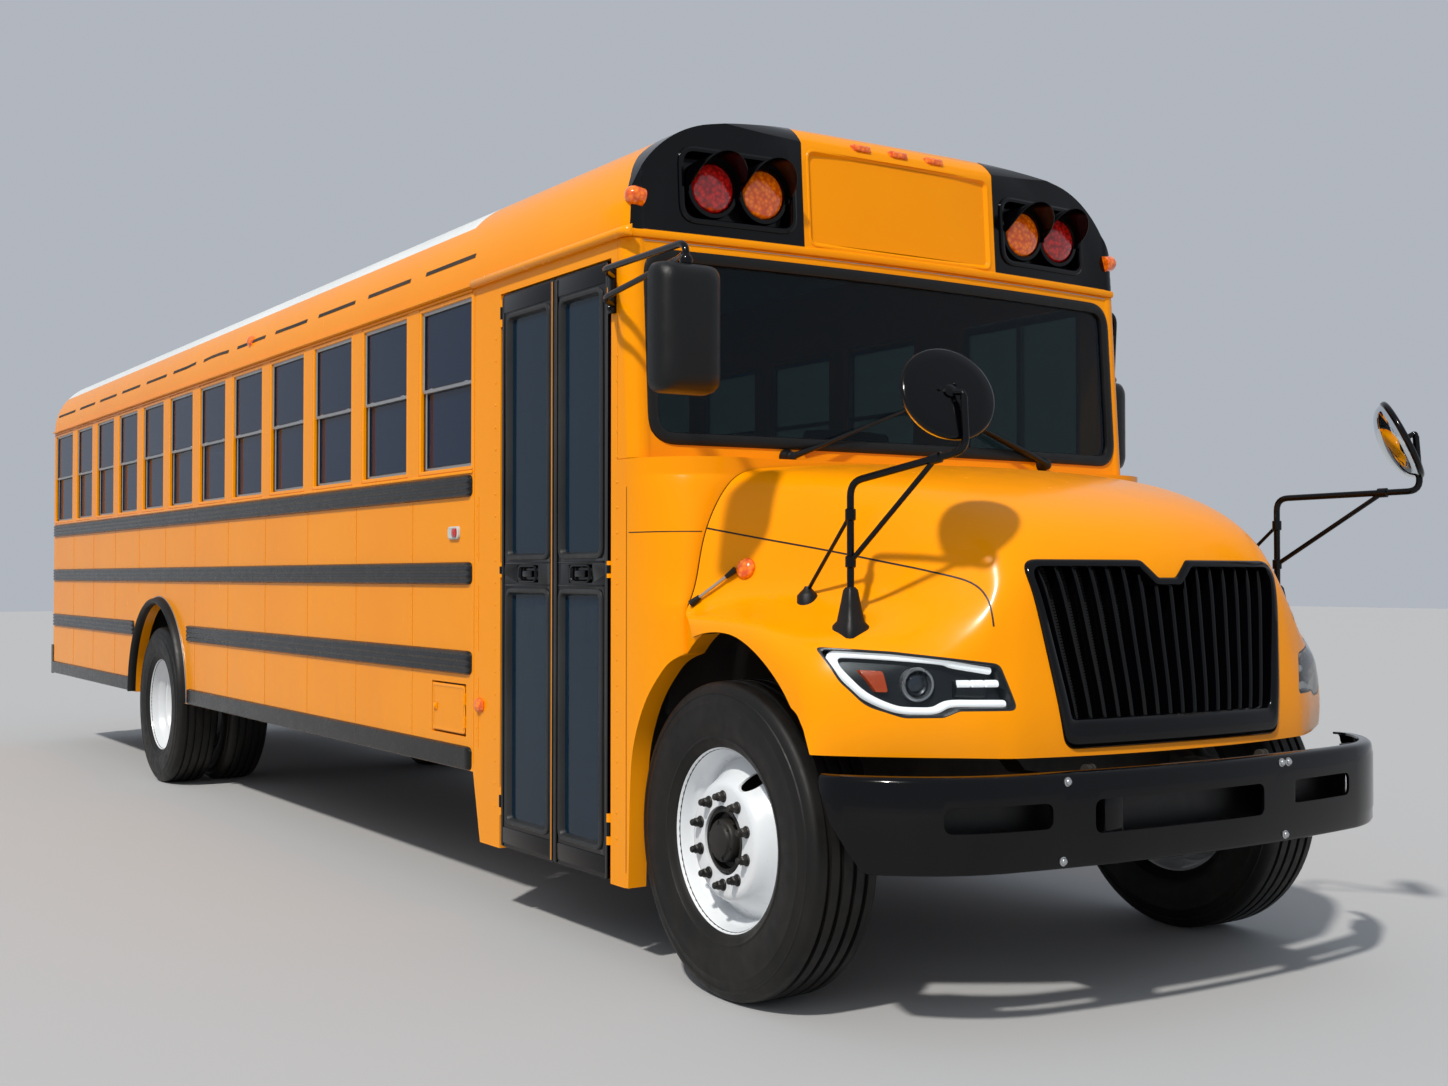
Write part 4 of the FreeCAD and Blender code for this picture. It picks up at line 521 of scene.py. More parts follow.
bm = bmesh.new()
for index in range(BLADES):
    lean = (index + 0.5) / BLADES * 2 - 1
    head = 1.41 if abs(lean) * 0.54 > 0.12 else 1.352 + max(0.0, abs(lean) * 0.54 - 0.06) * 0.7
    rings = []
    for level in range(10):
        z = BLADE_FOOT + (head - BLADE_FOOT) * level / 9
        x = lean * (0.452 + (0.545 - 0.452) * (z - BLADE_FOOT) / 0.485)
        y = nose_y(x, z) + 0.012
        rings.append([Vector((x + dx, y + dy, z)) for dx, dy in BLADE_SECTION])
    skirt(bm, rings, ends=True)
new_object("grille_blades", bm, bumper_gloss, "hood", 45)

core = Net("radiator_core")
fins = core.add("TexWave", {"Scale": 34.0, "Vector": core.place}, bands_direction="Z")
core.feed({"Base Color": tint((13, 13, 14)), "Roughness": 0.6})
core.bump(fins.outputs["Fac"], 0.003)
rows = []
for level in range(9):
    reach = 0.47 + 0.09 * level / 8
    rows.append([on_nose(reach * (2 * k / 14 - 1), 0.90 + 0.51 * level / 8, 0.075) for k in range(15)])
bm = bmesh.new()
skirt(bm, rows, closed=False)
new_object("radiator_core", thick(bm, 0.012), core.material, "hood")

# ---- Headlamps -------------------------------------------------------------------------------
# Each is a dark bowl let into the fender: a lit guide round its edge, a projector, a row of three
# small lamps, an amber reflector and a clear cover that carries on the fender's curve.

def clear(name, rgb, share, rough=0.02, lens=None, seen=(215, 228, 226)):
    """Thin glazing or a lens: share of its light passes straight through, the rest is a glossy tinted face."""
    net = Net(name)
    net.feed({"Base Color": tint(rgb), "Specular IOR Level": 0.36,
              "Roughness": net.ramp(net.noise(9.0, 4.0), 0.3, 0.8, rough, rough + 0.05)})
    if lens:
        ribs = net.add("TexWave", {"Scale": lens, "Vector": net.place}, bands_direction="X")
        net.bump(ribs.outputs["Fac"], 0.0012)
    through = net.add("BsdfTransparent", {"Color": tint(seen)})
    facing = net.add("LayerWeight", {"Blend": 0.5})
    amount = net.ramp(facing.outputs["Facing"], 0.35, 1.0, share, 0.1)
    both = net.add("MixShader", {0: amount, 1: net.shader.outputs[0], 2: through.outputs[0]})
    net.feed({"Surface": both.outputs[0]}, net.tree.nodes["Material Output"])
    return net.material


steel = finish("plated_steel", (188, 190, 192), 0.28, metal=0.9, drift=0.05, grain=800, depth=0.0002)
lamp_clear = clear("lamp_clear", (12, 13, 14), 0.94, seen=(246, 248, 249))
mirror_dark = finish("projector_lens", (60, 66, 74), 0.04, metal=0.6, coat=1.0, drift=0.02, grain=40, depth=0.00005)
amber_block = finish("amber_block", (196, 70, 10), 0.25, coat=0.8, drift=0.04, grain=260, depth=0.0008)


def around(count, radius=1.0, turn=0.0):
    """Points (u, v) evenly spaced round a circle."""
    angles = [2 * math.pi * k / count + turn for k in range(count)]
    return [(radius * math.cos(a), radius * math.sin(a)) for a in angles]


def lathe(bm, profile, centre, axis, segments=40, ring=False):
    """Turns (radius, height) points about an axis through centre; ring joins the last to the first."""
    axis = Vector(axis).normalized()
    side = axis.orthogonal().normalized()
    other = axis.cross(side)
    rings = []
    for radius, height in profile:
        reach = max(radius, 0.0002)
        rings.append([Vector(centre) + axis * height + (side * u + other * v) * reach for u, v in around(segments)])
    skirt(bm, rings, ring=ring, ends=not ring)
    return bm


def heading(points, k):
    """Unit vector along a path at its point k."""
    return (Vector(points[min(k + 1, len(points) - 1)]) - Vector(points[max(k - 1, 0)])).normalized()


def inset(corners, amount):
    """Polygon corners moved inward by amount, keeping their radii."""
    count = len(corners)
    turn = sum(corners[k - 1][0] * corners[k][1] - corners[k][0] * corners[k - 1][1] for k in range(count))
    way = 1 if turn > 0 else -1
    moved = []
    for k, corner in enumerate(corners):
        here, before, after = (Vector(corners[i % count][:2]) for i in (k, k - 1, k + 1))
        a, b = (here - before).normalized(), (after - here).normalized()
        na, nb = Vector((-a.y, a.x)) * way, Vector((-b.y, b.x)) * way
        middle = (na + nb).normalized()
        point = here + middle * (amount / max(0.35, middle.dot(na)))
        moved.append((point.x, point.y) + tuple(corner[2:]))
    return moved


GUIDE = [(0.706, 1.090), (0.80, 1.108), (0.835, 1.120), (0.95, 1.132), (1.05, 1.139), (1.082, 1.136), (1.093, 1.116),
         (1.084, 1.082), (1.053, 1.034), (1.014, 1.002), (0.958, 0.977), (0.905, 0.972), (0.862, 0.974),
         (0.822, 0.992), (0.75, 0.993), (0.672, 0.992)]
GUIDE_SECTION = ((-0.5, 0.0), (-0.46, 0.55), (-0.28, 0.9), (0.0, 1.0), (0.28, 0.9), (0.46, 0.55), (0.5, 0.0))
AMBER_CORNERS = [(1.040, 1.094, 0.006), (0.984, 1.090, 0.006), (0.978, 1.028, 0.006), (1.006, 1.028, 0.006)]
PROJECTOR_X, PROJECTOR_Z = 0.896, 1.050
PROJECTOR_RING = [(0.030, -0.01), (0.050, -0.01), (0.052, 0.022), (0.049, 0.026), (0.043, 0.025), (0.040, 0.012),
                  (0.037, 0.004), (0.030, 0.004)]
PROJECTOR_LENS = [(0.038, 0.0), (0.036, 0.008), (0.028, 0.016), (0.016, 0.022), (0.0, 0.024)]


def skin_patch(corners, side, push, depth):
    """A piece of the hood's skin within an outline, pushed back by push and depth thick."""
    bm = hood_surface.copy()
    (x0, x1), (z0, z1) = [(min(c[i] for c in corners) - 0.03, max(c[i] for c in corners) + 0.03) for i in (0, 1)]

    def near(face):
        middle = face.calc_center_median()
        return x0 < middle.x * side < x1 and z0 < middle.z < z1 and middle.y < frame_y(-300)

    bmesh.ops.delete(bm, geom=[f for f in bm.faces if not near(f)], context="FACES")
    bmesh.ops.translate(bm, verts=bm.verts, vec=(0, push, 0))
    outline = mirrored(rounded_outline(corners, 0.03, 4), side)
    return carve(thick(bm, depth), [cutter(outline, "y", frame_y(-1100), frame_y(-250))], keep=True)


def ribbon(bm, path, side, width, height, depth):
    """Half-round band along (x, z) points, standing height proud of a bed depth behind the skin."""
    rows = []
    for k, (x, z) in enumerate(path):
        along = heading(path, k) * width
        rows.append([on_nose(side * (x - along.y * share), z + along.x * share, depth - height * lift)
                     for share, lift in GUIDE_SECTION])
    skirt(bm, rows, ends=True)


glow = finish("light_guide", (246, 248, 250), 0.25, drift=0.02, grain=200, depth=0.0002)
for key, value in (("Emission Color", (1, 1, 1, 1)), ("Emission Strength", 0.55)):
    glow.node_tree.nodes["Principled BSDF"].inputs[key].default_value = value
bowl_grey = finish("lamp_bowl", (44, 48, 52), 0.35, metal=0.5, drift=0.1, grain=500, depth=0.0002)
for name, side in (("right", -1), ("left", 1)):
    bowl = skin_patch(inset(LAMP_CORNERS, 0.004), side, 0.050, 0.01)
    band, ring, lens = bmesh.new(), bmesh.new(), bmesh.new()
    skirt(bowl, [[on_nose(x, z, back) for x, z in mirrored(followed(inset(LAMP_CORNERS, within), 5), side)]
                 for within, back in ((-0.003, 0.02), (-0.003, 0.002), (0.003, 0.0), (0.008, 0.004), (0.010, 0.055))])
    ribbon(bowl, smooth_path([(0.72, 1.03), (0.80, 1.035)]), side, 0.05, 0.022, 0.052)
    new_object(f"{name}_headlamp_bowl", bowl, bowl_grey, "hood", stands_for="headlamps")
    ribbon(band, smooth_path(GUIDE), side, 0.022, 0.016, 0.034)
    for x in (0.702, 0.741, 0.780):
        ribbon(band, [(x - 0.0165, 1.052), (x, 1.052), (x + 0.0165, 1.052)], side, 0.022, 0.012, 0.034)
    new_object(f"{name}_headlamp_guide", band, glow, "hood", 60)
    eye, way = on_nose(side * PROJECTOR_X, PROJECTOR_Z, 0.050), Vector((side * 0.30, -1.0, 0.03))
    lathe(ring, PROJECTOR_RING, eye, way)
    new_object(f"{name}_projector_ring", ring, steel, "hood", 45)
    lathe(lens, PROJECTOR_LENS, eye, way)
    new_object(f"{name}_projector_lens", lens, mirror_dark, "hood", 60)
    amber = skin_patch(AMBER_CORNERS, side, 0.032, 0.012)
    new_object(f"{name}_headlamp_amber", amber, amber_block, "hood")
    cover = skin_patch(inset(LAMP_CORNERS, 0.006), side, 0.0005, 0.003)
    new_object(f"{name}_headlamp_cover", cover, lamp_clear, "hood", 50)

# ---- Front bumper ----------------------------------------------------------------------------
# A pressed channel: its section runs round the bowed plan, the top edge is rolled, the lower
# corners slant and three rounded slots pass through. Bolts hold it to two stays.

def round_edges(obj, width, segments=2, angle=38):
    bevel = obj.modifiers.new("rounding", "BEVEL")
    bevel.width = width
    bevel.segments = segments
    bevel.limit_method = "ANGLE"
    bevel.angle_limit = math.radians(angle)
    bevel.miter_outer = "MITER_ARC"
    bevel.harden_normals = True


def block(bm, corner, opposite, soft=0.0):
    """Box between two corners in any order, its edges rounded by soft."""
    ends = [sorted(pair) for pair in zip(corner, opposite)]
    made = bmesh.ops.create_cube(bm, size=1.0)["verts"]
    for vertex in made:
        vertex.co = Vector([low + (high - low) * (c + 0.5) for (low, high), c in zip(ends, vertex.co)])
    if soft:
        edges = {e for v in made for e in v.link_edges}
        bmesh.ops.bevel(bm, geom=list(edges), offset=soft, segments=3, profile=0.5, affect="EDGES")
    return bm


def rectangle(u0, u1, v0, v1):
    return [(u0, v0), (u1, v0), (u1, v1), (u0, v1)]


BUMPER_ARCS = (((-1210, -640), (-1100, -790), (-800, -948)), ((-800, -948), (0, -1010), (800, -948)),
               ((800, -948), (1100, -790), (1210, -640)))
BUMPER_SECTION = ((44, 517), (14, 514), (5, 517), (0, 526), (0, 560), (-3, 572), (-3, 752), (0, 764), (1, 779),
                  (5, 789), (14, 796), (44, 797), (44, 789), (17, 788), (9, 778), (8, 530), (16, 523), (44, 525))
SLOTS = ((-0.484, 0.254, 0.612, 0.712), (-0.982, -0.640, 0.636, 0.711), (0.408, 0.750, 0.636, 0.711))
SLANT = ((-500, 0.45), (-500, 0.85), (-572, 0.85), (-590, 0.76), (-716, 0.535), (-740, 0.51), (-740, 0.45))
BOLTS = ((-0.586, 0.770), (-0.604, 0.538), (0.350, 0.772), (0.386, 0.772), (0.366, 0.538))


def arc(a, b, c, steps=14):
    """Points of the circle through three points, from the first to the last."""
    a, b, c = Vector(a), Vector(b), Vector(c)
    aa, bb, cc = (p.length_squared for p in (a, b, c))
    d = 2 * (a.x * (b.y - c.y) + b.x * (c.y - a.y) + c.x * (a.y - b.y))
    centre = Vector((aa * (b.y - c.y) + bb * (c.y - a.y) + cc * (a.y - b.y),
                     aa * (c.x - b.x) + bb * (a.x - c.x) + cc * (b.x - a.x))) / d
    start, end = (math.atan2(p.y - centre.y, p.x - centre.x) for p in (a, c))
    sweep = (end - start + math.pi) % (2 * math.pi) - math.pi
    turns = [start + sweep * i / steps for i in range(steps + 1)]
    return [centre + Vector((math.cos(t), math.sin(t))) * (a - centre).length for t in turns]


def bumper_path(inward):
    """Plan points of the bumper's face in millimetres, moved inward."""
    left, middle, right = (arc(*points) for points in BUMPER_ARCS)
    face = [Vector((-1210, -560))] + left + middle[1:] + right[1:] + [Vector((1210, -560))]
    moved = []
    for k, point in enumerate(face):
        along = heading(face, k)
        moved.append(point + Vector((-along.y, along.x)) * inward)
    return moved


def bumper_point(point, z):
    return Vector((point.x / 1000, frame_y(point.y), z))


bm = bmesh.new()
loops = skirt(bm, [[bumper_point(p, z / 1000) for p in bumper_path(depth)] for depth, z in BUMPER_SECTION],
              closed=False, ring=True)
bm.faces.new([loop[0] for loop in loops])
bm.faces.new([loop[-1] for loop in reversed(loops)])
bmesh.ops.recalc_face_normals(bm, faces=bm.faces)
tools = [cutter(rounded_outline(rectangle(*slot), 0.028), "y", frame_y(-1100), frame_y(-700)) for slot in SLOTS]
bm = carve(bm, tools + [cutter([(frame_y(station), z) for station, z in SLANT], "x", -1.4, 1.4)])
for stay in (-0.4, 0.4):
    block(bm, (stay - 0.038, frame_y(-985), 0.58), (stay + 0.038, frame_y(-880), 0.74), 0.006)
bumper = new_object("front_bumper_channel", bm, bumper_gloss)
round_edges(bumper, 0.0015, 2, 50)
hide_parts("front_bumper")

bumper_tree = BVHTree.FromObject(bumper, bpy.context.evaluated_depsgraph_get())
bm = bmesh.new()
for x, z in BOLTS:
    hit = bumper_tree.ray_cast(Vector((x, frame_y(-1300), z)), Vector((0, 1, 0)))[0]
    lathe(bm, [(0.014, -0.004), (0.014, 0.002), (0.0105, 0.004), (0.010, 0.008), (0.007, 0.011), (0.0, 0.012)],
          hit, (0, -1, 0), 18)
new_object("front_bumper_bolts", bm, steel)

# ---- Bumper filler ---------------------------------------------------------------------------
# A moulded strip behind the bumper's face closes the gap to the hood and shows through the
# slots. It is clipped to the bumper's upper flange.
moulded = finish("moulded_black", (6, 6, 7), 0.36, drift=0.1, grain=1400, depth=0.0003, second=(11, 11, 11), gloss=0.35)

bm = bmesh.new()
pairs = [(a, b) for a, b in zip(bumper_path(40), bumper_path(92)) if a.y < -690]
skirt(bm, [[bumper_point(a, 0.772) for a, b in pairs], [bumper_point(b, 0.766) for a, b in pairs],
           [bumper_point(b, 0.560) for a, b in pairs]], closed=False)
new_object("bumper_filler", thick(bm, 0.003), moulded)

# ---- Tyres -----------------------------------------------------------------------------------
# Moulded rubber, turned from a section: bead, bulging sidewall with its rings, stepped shoulder,
# and a tread with four grooves cut round it. Single in front, paired behind.
TYRE_R = (tyre_high.z - tyre_low.z) / 2

tyre_rubber = finish("tyre_rubber", (6, 6, 6), 0.5, drift=0.2, grain=520, depth=0.0005, film=0.05, film_top=1.3,
                     second=(11, 11, 11), gloss=0.3)


def body_of(node):
    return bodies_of(frame["nodes"][node])[0]


# Section points are (radius, distance outward from the tyre's middle plane).
HALF_TYRE = ((0.294, 0.099), (0.302, 0.111), (0.316, 0.120), (0.330, 0.126), (0.333, 0.1295), (0.338, 0.1295),
             (0.341, 0.128), (0.365, 0.1345), (0.392, 0.1385), (0.416, 0.1392), (0.436, 0.1380), (0.441, 0.1388),
             (0.446, 0.1386), (0.449, 0.1365), (0.464, 0.1335), (0.474, 0.1305), (0.4765, 0.1325),
             (0.4815, 0.1322), (0.4845, 0.1285), (0.496, 0.1245), (0.507, 0.1185), (0.5125, 0.1120), (0.5155, 0.1020))
GROOVES = (0.071, 0.025, -0.025, -0.071)
GROOVE_DEPTH, TREAD_R = 0.0125, 0.518
FRONT_OFFSET, DUAL_OUT, DUAL_IN = 1.045, 1.092, 0.762

tyre_profile = list(HALF_TYRE)
for middle in GROOVES:
    crown = TREAD_R - 0.0022 * (middle / 0.1) ** 2
    tyre_profile += [(crown, middle + 0.0085), (crown - GROOVE_DEPTH, middle + 0.0060),
                     (crown - GROOVE_DEPTH, middle - 0.0060), (crown, middle - 0.0085)]
tyre_profile += [(radius, -offset) for radius, offset in reversed(HALF_TYRE)]
tyre_profile = [(radius * TYRE_R / TREAD_R, offset) for radius, offset in tyre_profile]


def middle_of(node, offset):
    low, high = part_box(node)
    return Vector((offset if low.x > 0 else -offset, (low.y + high.y) / 2, TYRE_R))


for sign, name in ((-1, "right"), (1, "left")):
    for node, offsets in ((f"front_{name}_tyre", [FRONT_OFFSET]), (f"rear_{name}_tyres", [DUAL_OUT, DUAL_IN])):
        bm = bmesh.new()
        for offset in offsets:
            lathe(bm, tyre_profile, middle_of(node, offset), (sign, 0, 0), 112, ring=True)
        new_object(node + "_tread", bm, tyre_rubber, body_of(node), 28, stands_for=node)

# ---- Wheels ----------------------------------------------------------------------------------
# Disc wheels: a flanged drop-centre rim, a dished disc with two hand holes, ten flange nuts on
# tall studs, and a black hub. Front discs bulge outward and rear ones are dished deep.
wheel_white = finish("wheel_white", (226, 229, 232), 0.3, coat=0.25, drift=0.05, grain=500, depth=0.0002,
                     film=0.10, film_top=1.2, second=(206, 210, 214))
hub_black = finish("hub_black", (14, 14, 14), 0.45, metal=0.3, drift=0.15, grain=500, depth=0.0005, second=(58, 54, 50))


def take(bm, part):
    """Moves a separate bmesh into bm."""
    mesh = bpy.data.meshes.new("part")
    part.to_mesh(mesh)
    part.free()
    bm.from_mesh(mesh)


RIM = ((0.3055, 0.106), (0.3035, 0.1095), (0.299, 0.1085), (0.2955, 0.101), (0.2905, 0.092), (0.2885, 0.066),
       (0.280, 0.050), (0.268, 0.030), (0.262, 0.010), (0.262, -0.022), (0.276, -0.050), (0.287, -0.070),
       (0.2895, -0.094), (0.2955, -0.103), (0.3035, -0.1095), (0.3055, -0.106), (0.2985, -0.098),
       (0.2955, -0.074), (0.284, -0.056), (0.270, -0.030), (0.270, 0.014), (0.276, 0.034), (0.289, 0.054),
       (0.2945, 0.072), (0.2975, 0.096))
FRONT_DISC = ((0.112, 0.116), (0.172, 0.1165), (0.184, 0.113), (0.194, 0.104), (0.208, 0.080), (0.228, 0.050),
              (0.246, 0.028), (0.256, 0.016), (0.266, 0.012))
REAR_DISC = ((0.112, -0.118), (0.172, -0.1185), (0.186, -0.115), (0.198, -0.104), (0.214, -0.072), (0.232, -0.034),
             (0.247, -0.006), (0.256, 0.010), (0.266, 0.014))
FRONT_HUB = ((0.208, -0.105), (0.212, -0.098), (0.212, -0.035), (0.206, -0.028), (0.150, -0.022), (0.120, 0.030),
             (0.105, 0.060), (0.104, 0.112), (0.098, 0.116), (0.092, 0.112), (0.089, 0.086), (0.072, 0.082),
             (0.070, 0.120), (0.066, 0.126), (0.056, 0.129), (0.052, 0.137), (0.040, 0.141), (0.0, 0.142))
REAR_HUB = ((0.205, -0.44), (0.210, -0.43), (0.210, -0.26), (0.200, -0.25), (0.130, -0.245), (0.106, -0.20),
            (0.105, -0.100), (0.098, -0.094), (0.096, -0.020), (0.104, -0.014), (0.104, 0.000), (0.094, 0.006),
            (0.060, 0.010), (0.050, 0.030), (0.0, 0.034))
STUD = (([(0.020, -0.002), (0.020, 0.003), (0.0175, 0.006)], 18),
        ([(0.0165, 0.002), (0.0165, 0.020), (0.013, 0.024)], 6),
        ([(0.0115, 0.018), (0.0115, 0.034), (0.009, 0.038), (0.0, 0.0385)], 14))
NUT_CIRCLE, NUTS = 0.1430, 10
DISC_WALL, HAND_HOLE = 0.011, 0.030
# Front and rear: tyre offsets, disc, hand-hole ring, nut face, hub, and the hub's own bolts as
# count, turn, circle, face and profile.
WHEELS = (("front", [FRONT_OFFSET], FRONT_DISC, 0.219, 0.116, FRONT_HUB,
           (6, 0.3, 0.0605, 0.126, [(0.0055, -0.002), (0.0055, 0.005), (0.003, 0.006)])),
          ("rear", [DUAL_OUT, DUAL_IN], REAR_DISC, 0.222, -0.118, REAR_HUB,
           (8, 0.2, 0.082, 0.002, [(0.007, -0.002), (0.007, 0.010), (0.004, 0.012)])))


def disc(bm, profile, centre, sign, hole_ring):
    """Disc of constant thickness with two hand holes bored through it."""
    part = bmesh.new()
    lathe(part, list(profile) + [(r, o - DISC_WALL) for r, o in reversed(profile)], centre, (sign, 0, 0), 72, ring=True)
    bmesh.ops.recalc_face_normals(part, faces=part.faces)
    tools = []
    for turn in (math.radians(26), math.radians(206)):
        y, z = centre.y - hole_ring * math.sin(turn), centre.z + hole_ring * math.cos(turn)
        tools.append(cutter([(y + u, z + v) for u, v in around(28, HAND_HOLE)], "x",
                            min(centre.x, centre.x + sign * 0.2) - 0.2, max(centre.x, centre.x + sign * 0.2)))
    take(bm, carve(part, tools))


for sign, name in ((-1, "right"), (1, "left")):
    for end, offsets, dish, hole_ring, nut_face, hub_profile, (count, turn, circle, face, bolt) in WHEELS:
        node = f"{end}_{name}_wheel"
        centres = [middle_of(node, offset) for offset in offsets]
        bm, hub = bmesh.new(), bmesh.new()
        for centre, way in zip(centres, (sign, -sign)):
            lathe(bm, RIM, centre, (way, 0, 0), 72, ring=True)
        for centre, way in zip(centres, (sign, -sign)):
            disc(bm, dish, centre, way, hole_ring)
        new_object(node + "_disc", bm, wheel_white, body_of(node), 30, stands_for=node)
        for u, v in around(NUTS, NUT_CIRCLE, math.pi / NUTS):
            for profile, sides in STUD:
                lathe(hub, profile, centres[0] + Vector((sign * nut_face, u, v)), (sign, 0, 0), sides)
        lathe(hub, hub_profile, centres[0], (sign, 0, 0), 48)
        for u, v in around(count, circle, turn):
            lathe(hub, bolt, centres[0] + Vector((sign * face, u, v)), (sign, 0, 0), 6)
        new_object(node + "_hub", hub, hub_black, body_of(node), 34)

# ---- Front cap -------------------------------------------------------------------------------
# Moulded cap: a recessed yellow centre panel between two black lamp panels that wrap round the
# corners, each with a tray for a red and an amber lamp. The panels are skins over the cap.
lamp_panel_black = finish("lamp_panel_black", (3, 3, 5), 0.16, coat=0.3, drift=0.1, grain=500, depth=0.0001, gloss=0.12)


def welded(node, whole=True):
    """A bmesh of a node with its facets joined and its flat faces whole."""
    bm = bmesh.new()
    bm.from_mesh(frame["nodes"][node].data)
    bmesh.ops.remove_doubles(bm, verts=bm.verts, dist=0.0002)
    if whole:
        bmesh.ops.dissolve_limit(bm, angle_limit=math.radians(0.6), verts=bm.verts, edges=bm.edges, delimit=set())
    return bm


def tree_of(mesh):
    """Ray-casting tree of a mesh."""
    bm = bmesh.new()
    bm.from_mesh(mesh)
    tree = BVHTree.FromBMesh(bm)
    bm.free()
    return tree


def moulding(bm, corners, radius, profile, lay, steps=4, ring=True, floor=False):
    """Ring of (inset, depth) points round an outline; lay(u, v, depth) puts a point in place."""
    rings = []
    for amount, depth in profile:
        outline = rounded_outline(inset(corners, amount), max(0.002, radius - amount), steps)
        rings.append([lay(u, v, depth) for u, v in outline])
    loops = skirt(bm, rings, ring=ring)
    if floor:
        bm.faces.new(list(reversed(loops[-1])))


CENTRE_PANEL = rectangle(-0.452, 0.452, 2.618, 2.985)
CENTRE_RIM = ((-0.006, -0.002), (-0.002, 0.0025), (0.004, 0.0025), (0.010, -0.003), (0.016, -0.010))
LAMP_TRAY = rectangle(0.532, 0.985, 2.668, 2.912)
TRAY_RIM = ((-0.022, 0.0), (-0.020, 0.008), (-0.012, 0.012), (-0.002, 0.010), (0.002, 0.004), (0.010, -0.055))
# Side view of what is black: stations and heights.
BLACK_ZONE = ((200, 2.606), (548, 2.606), (550, 2.70), (590, 2.80), (660, 2.90), (720, 3.3), (200, 3.3))
BLACK_FROM, PANEL_LIFT = 0.480, 0.0025
cap_tree = tree_of(frame["nodes"]["front_cap"].data)


def cap_y(x, z):
    found = cap_tree.ray_cast(Vector((x, frame_y(0), z)), Vector((0, 1, 0)))[0]
    return found.y if found else frame_y(560)


def on_cap(side):
    return lambda u, v, depth: Vector((side * u, cap_y(side * u, v) - depth, v))


outlines = [rounded_outline(CENTRE_PANEL, 0.035)]
outlines += [mirrored(rounded_outline(LAMP_TRAY, 0.05), side) for side in (-1, 1)]
cap = carve(welded("front_cap"), [cutter(outline, "y", frame_y(300), frame_y(640)) for outline in outlines])
black_skins = {"right": (-1, cap.copy()), "left": (1, cap.copy())}
cap_piece = new_object("cap_shell", cap, paint, smooth=34)
round_edges(cap_piece, 0.004)
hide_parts("front_cap")

bm = bmesh.new()
moulding(bm, CENTRE_PANEL, 0.035, CENTRE_RIM, on_cap(1), 5, False)
skirt(bm, [[on_cap(1)(-0.438 + 0.876 * k / 20, 2.632 + 0.340 * j / 12, -0.010) for k in range(21)] for j in range(13)],
      closed=False)
new_object("cap_centre_panel", bm, paint)

for name, (side, skin) in black_skins.items():
    zone = [(frame_y(station), z) for station, z in BLACK_ZONE]
    skin = carve(skin, [cutter(zone, "x", *sorted((side * BLACK_FROM, side * 1.4)))], keep=True)
    bmesh.ops.recalc_face_normals(skin, faces=skin.faces)
    for vertex in skin.verts:
        vertex.normal_update()
    for vertex, normal in [(v, v.normal.copy()) for v in skin.verts]:
        vertex.co += normal * PANEL_LIFT
    moulding(skin, LAMP_TRAY, 0.05, TRAY_RIM, on_cap(side), 5, False, True)
    new_object(f"{name}_lamp_panel", skin, lamp_panel_black, smooth=34)

# ---- Warning lamps ---------------------------------------------------------------------------
# Domed moulded lenses, red outboard and amber inboard, in black bezels. The front ones stand in
# their trays under long visors, and the rear ones are let into the body above the rear door.

def dome(radius, base, rise, step=10):
    """Profile of a domed end for lathe()."""
    turns = [math.radians(a) for a in range(0, 91, step)]
    return [(radius * math.cos(a), base + rise * math.sin(a)) for a in turns]


RED_X, AMBER_X, WARNING_Z, REAR_WARNING_Z = 0.862, 0.650, 2.788, 2.76
BEZEL = ((0.108, 0.06), (0.112, 0.0), (0.108, -0.010), (0.094, -0.012), (0.089, -0.004), (0.088, 0.02), (0.09, 0.05))
REAR_BEZEL = ((0.087, -0.03), (0.087, 0.018), (0.082, 0.022), (0.078, 0.016), (0.078, -0.03))


def lamp_lens(name, rgb, dark):
    """Moulded lens: small prisms with painted glints, each cell lighter at its middle and darker at its edge, in its
    colour and its faint glow.
    """
    net = Net(name)
    cells = net.add("TexVoronoi", {"Scale": 62.0, "Vector": net.place}).outputs["Distance"]
    net.feed({"Base Color": net.mix(net.ramp(cells, 0.1, 0.75), tint(rgb), tint(dark)), "Roughness": 0.12,
              "Coat Weight": 0.8, "Emission Color": net.mix(cells, tint(rgb), tint(dark)), "Emission Strength": 0.10})
    net.bump(cells, 0.0015)
    return net.material


def visor(bm, centre):
    """Long hood over a lamp, deepest at its top."""
    rings = []
    for k in range(25):
        angle = math.radians(-12 + 204 * k / 24)
        lift = max(0.0, math.sin(angle))
        run = Vector((0, -0.022 - 0.108 * lift ** 0.55, 0.004 * lift))
        radial = Vector((math.cos(angle), 0, math.sin(angle)))
        outer, inner = centre + radial * 0.111, centre + radial * 0.1075
        rings.append([outer, outer + run, inner + run, inner])
    skirt(bm, rings, ends=True)


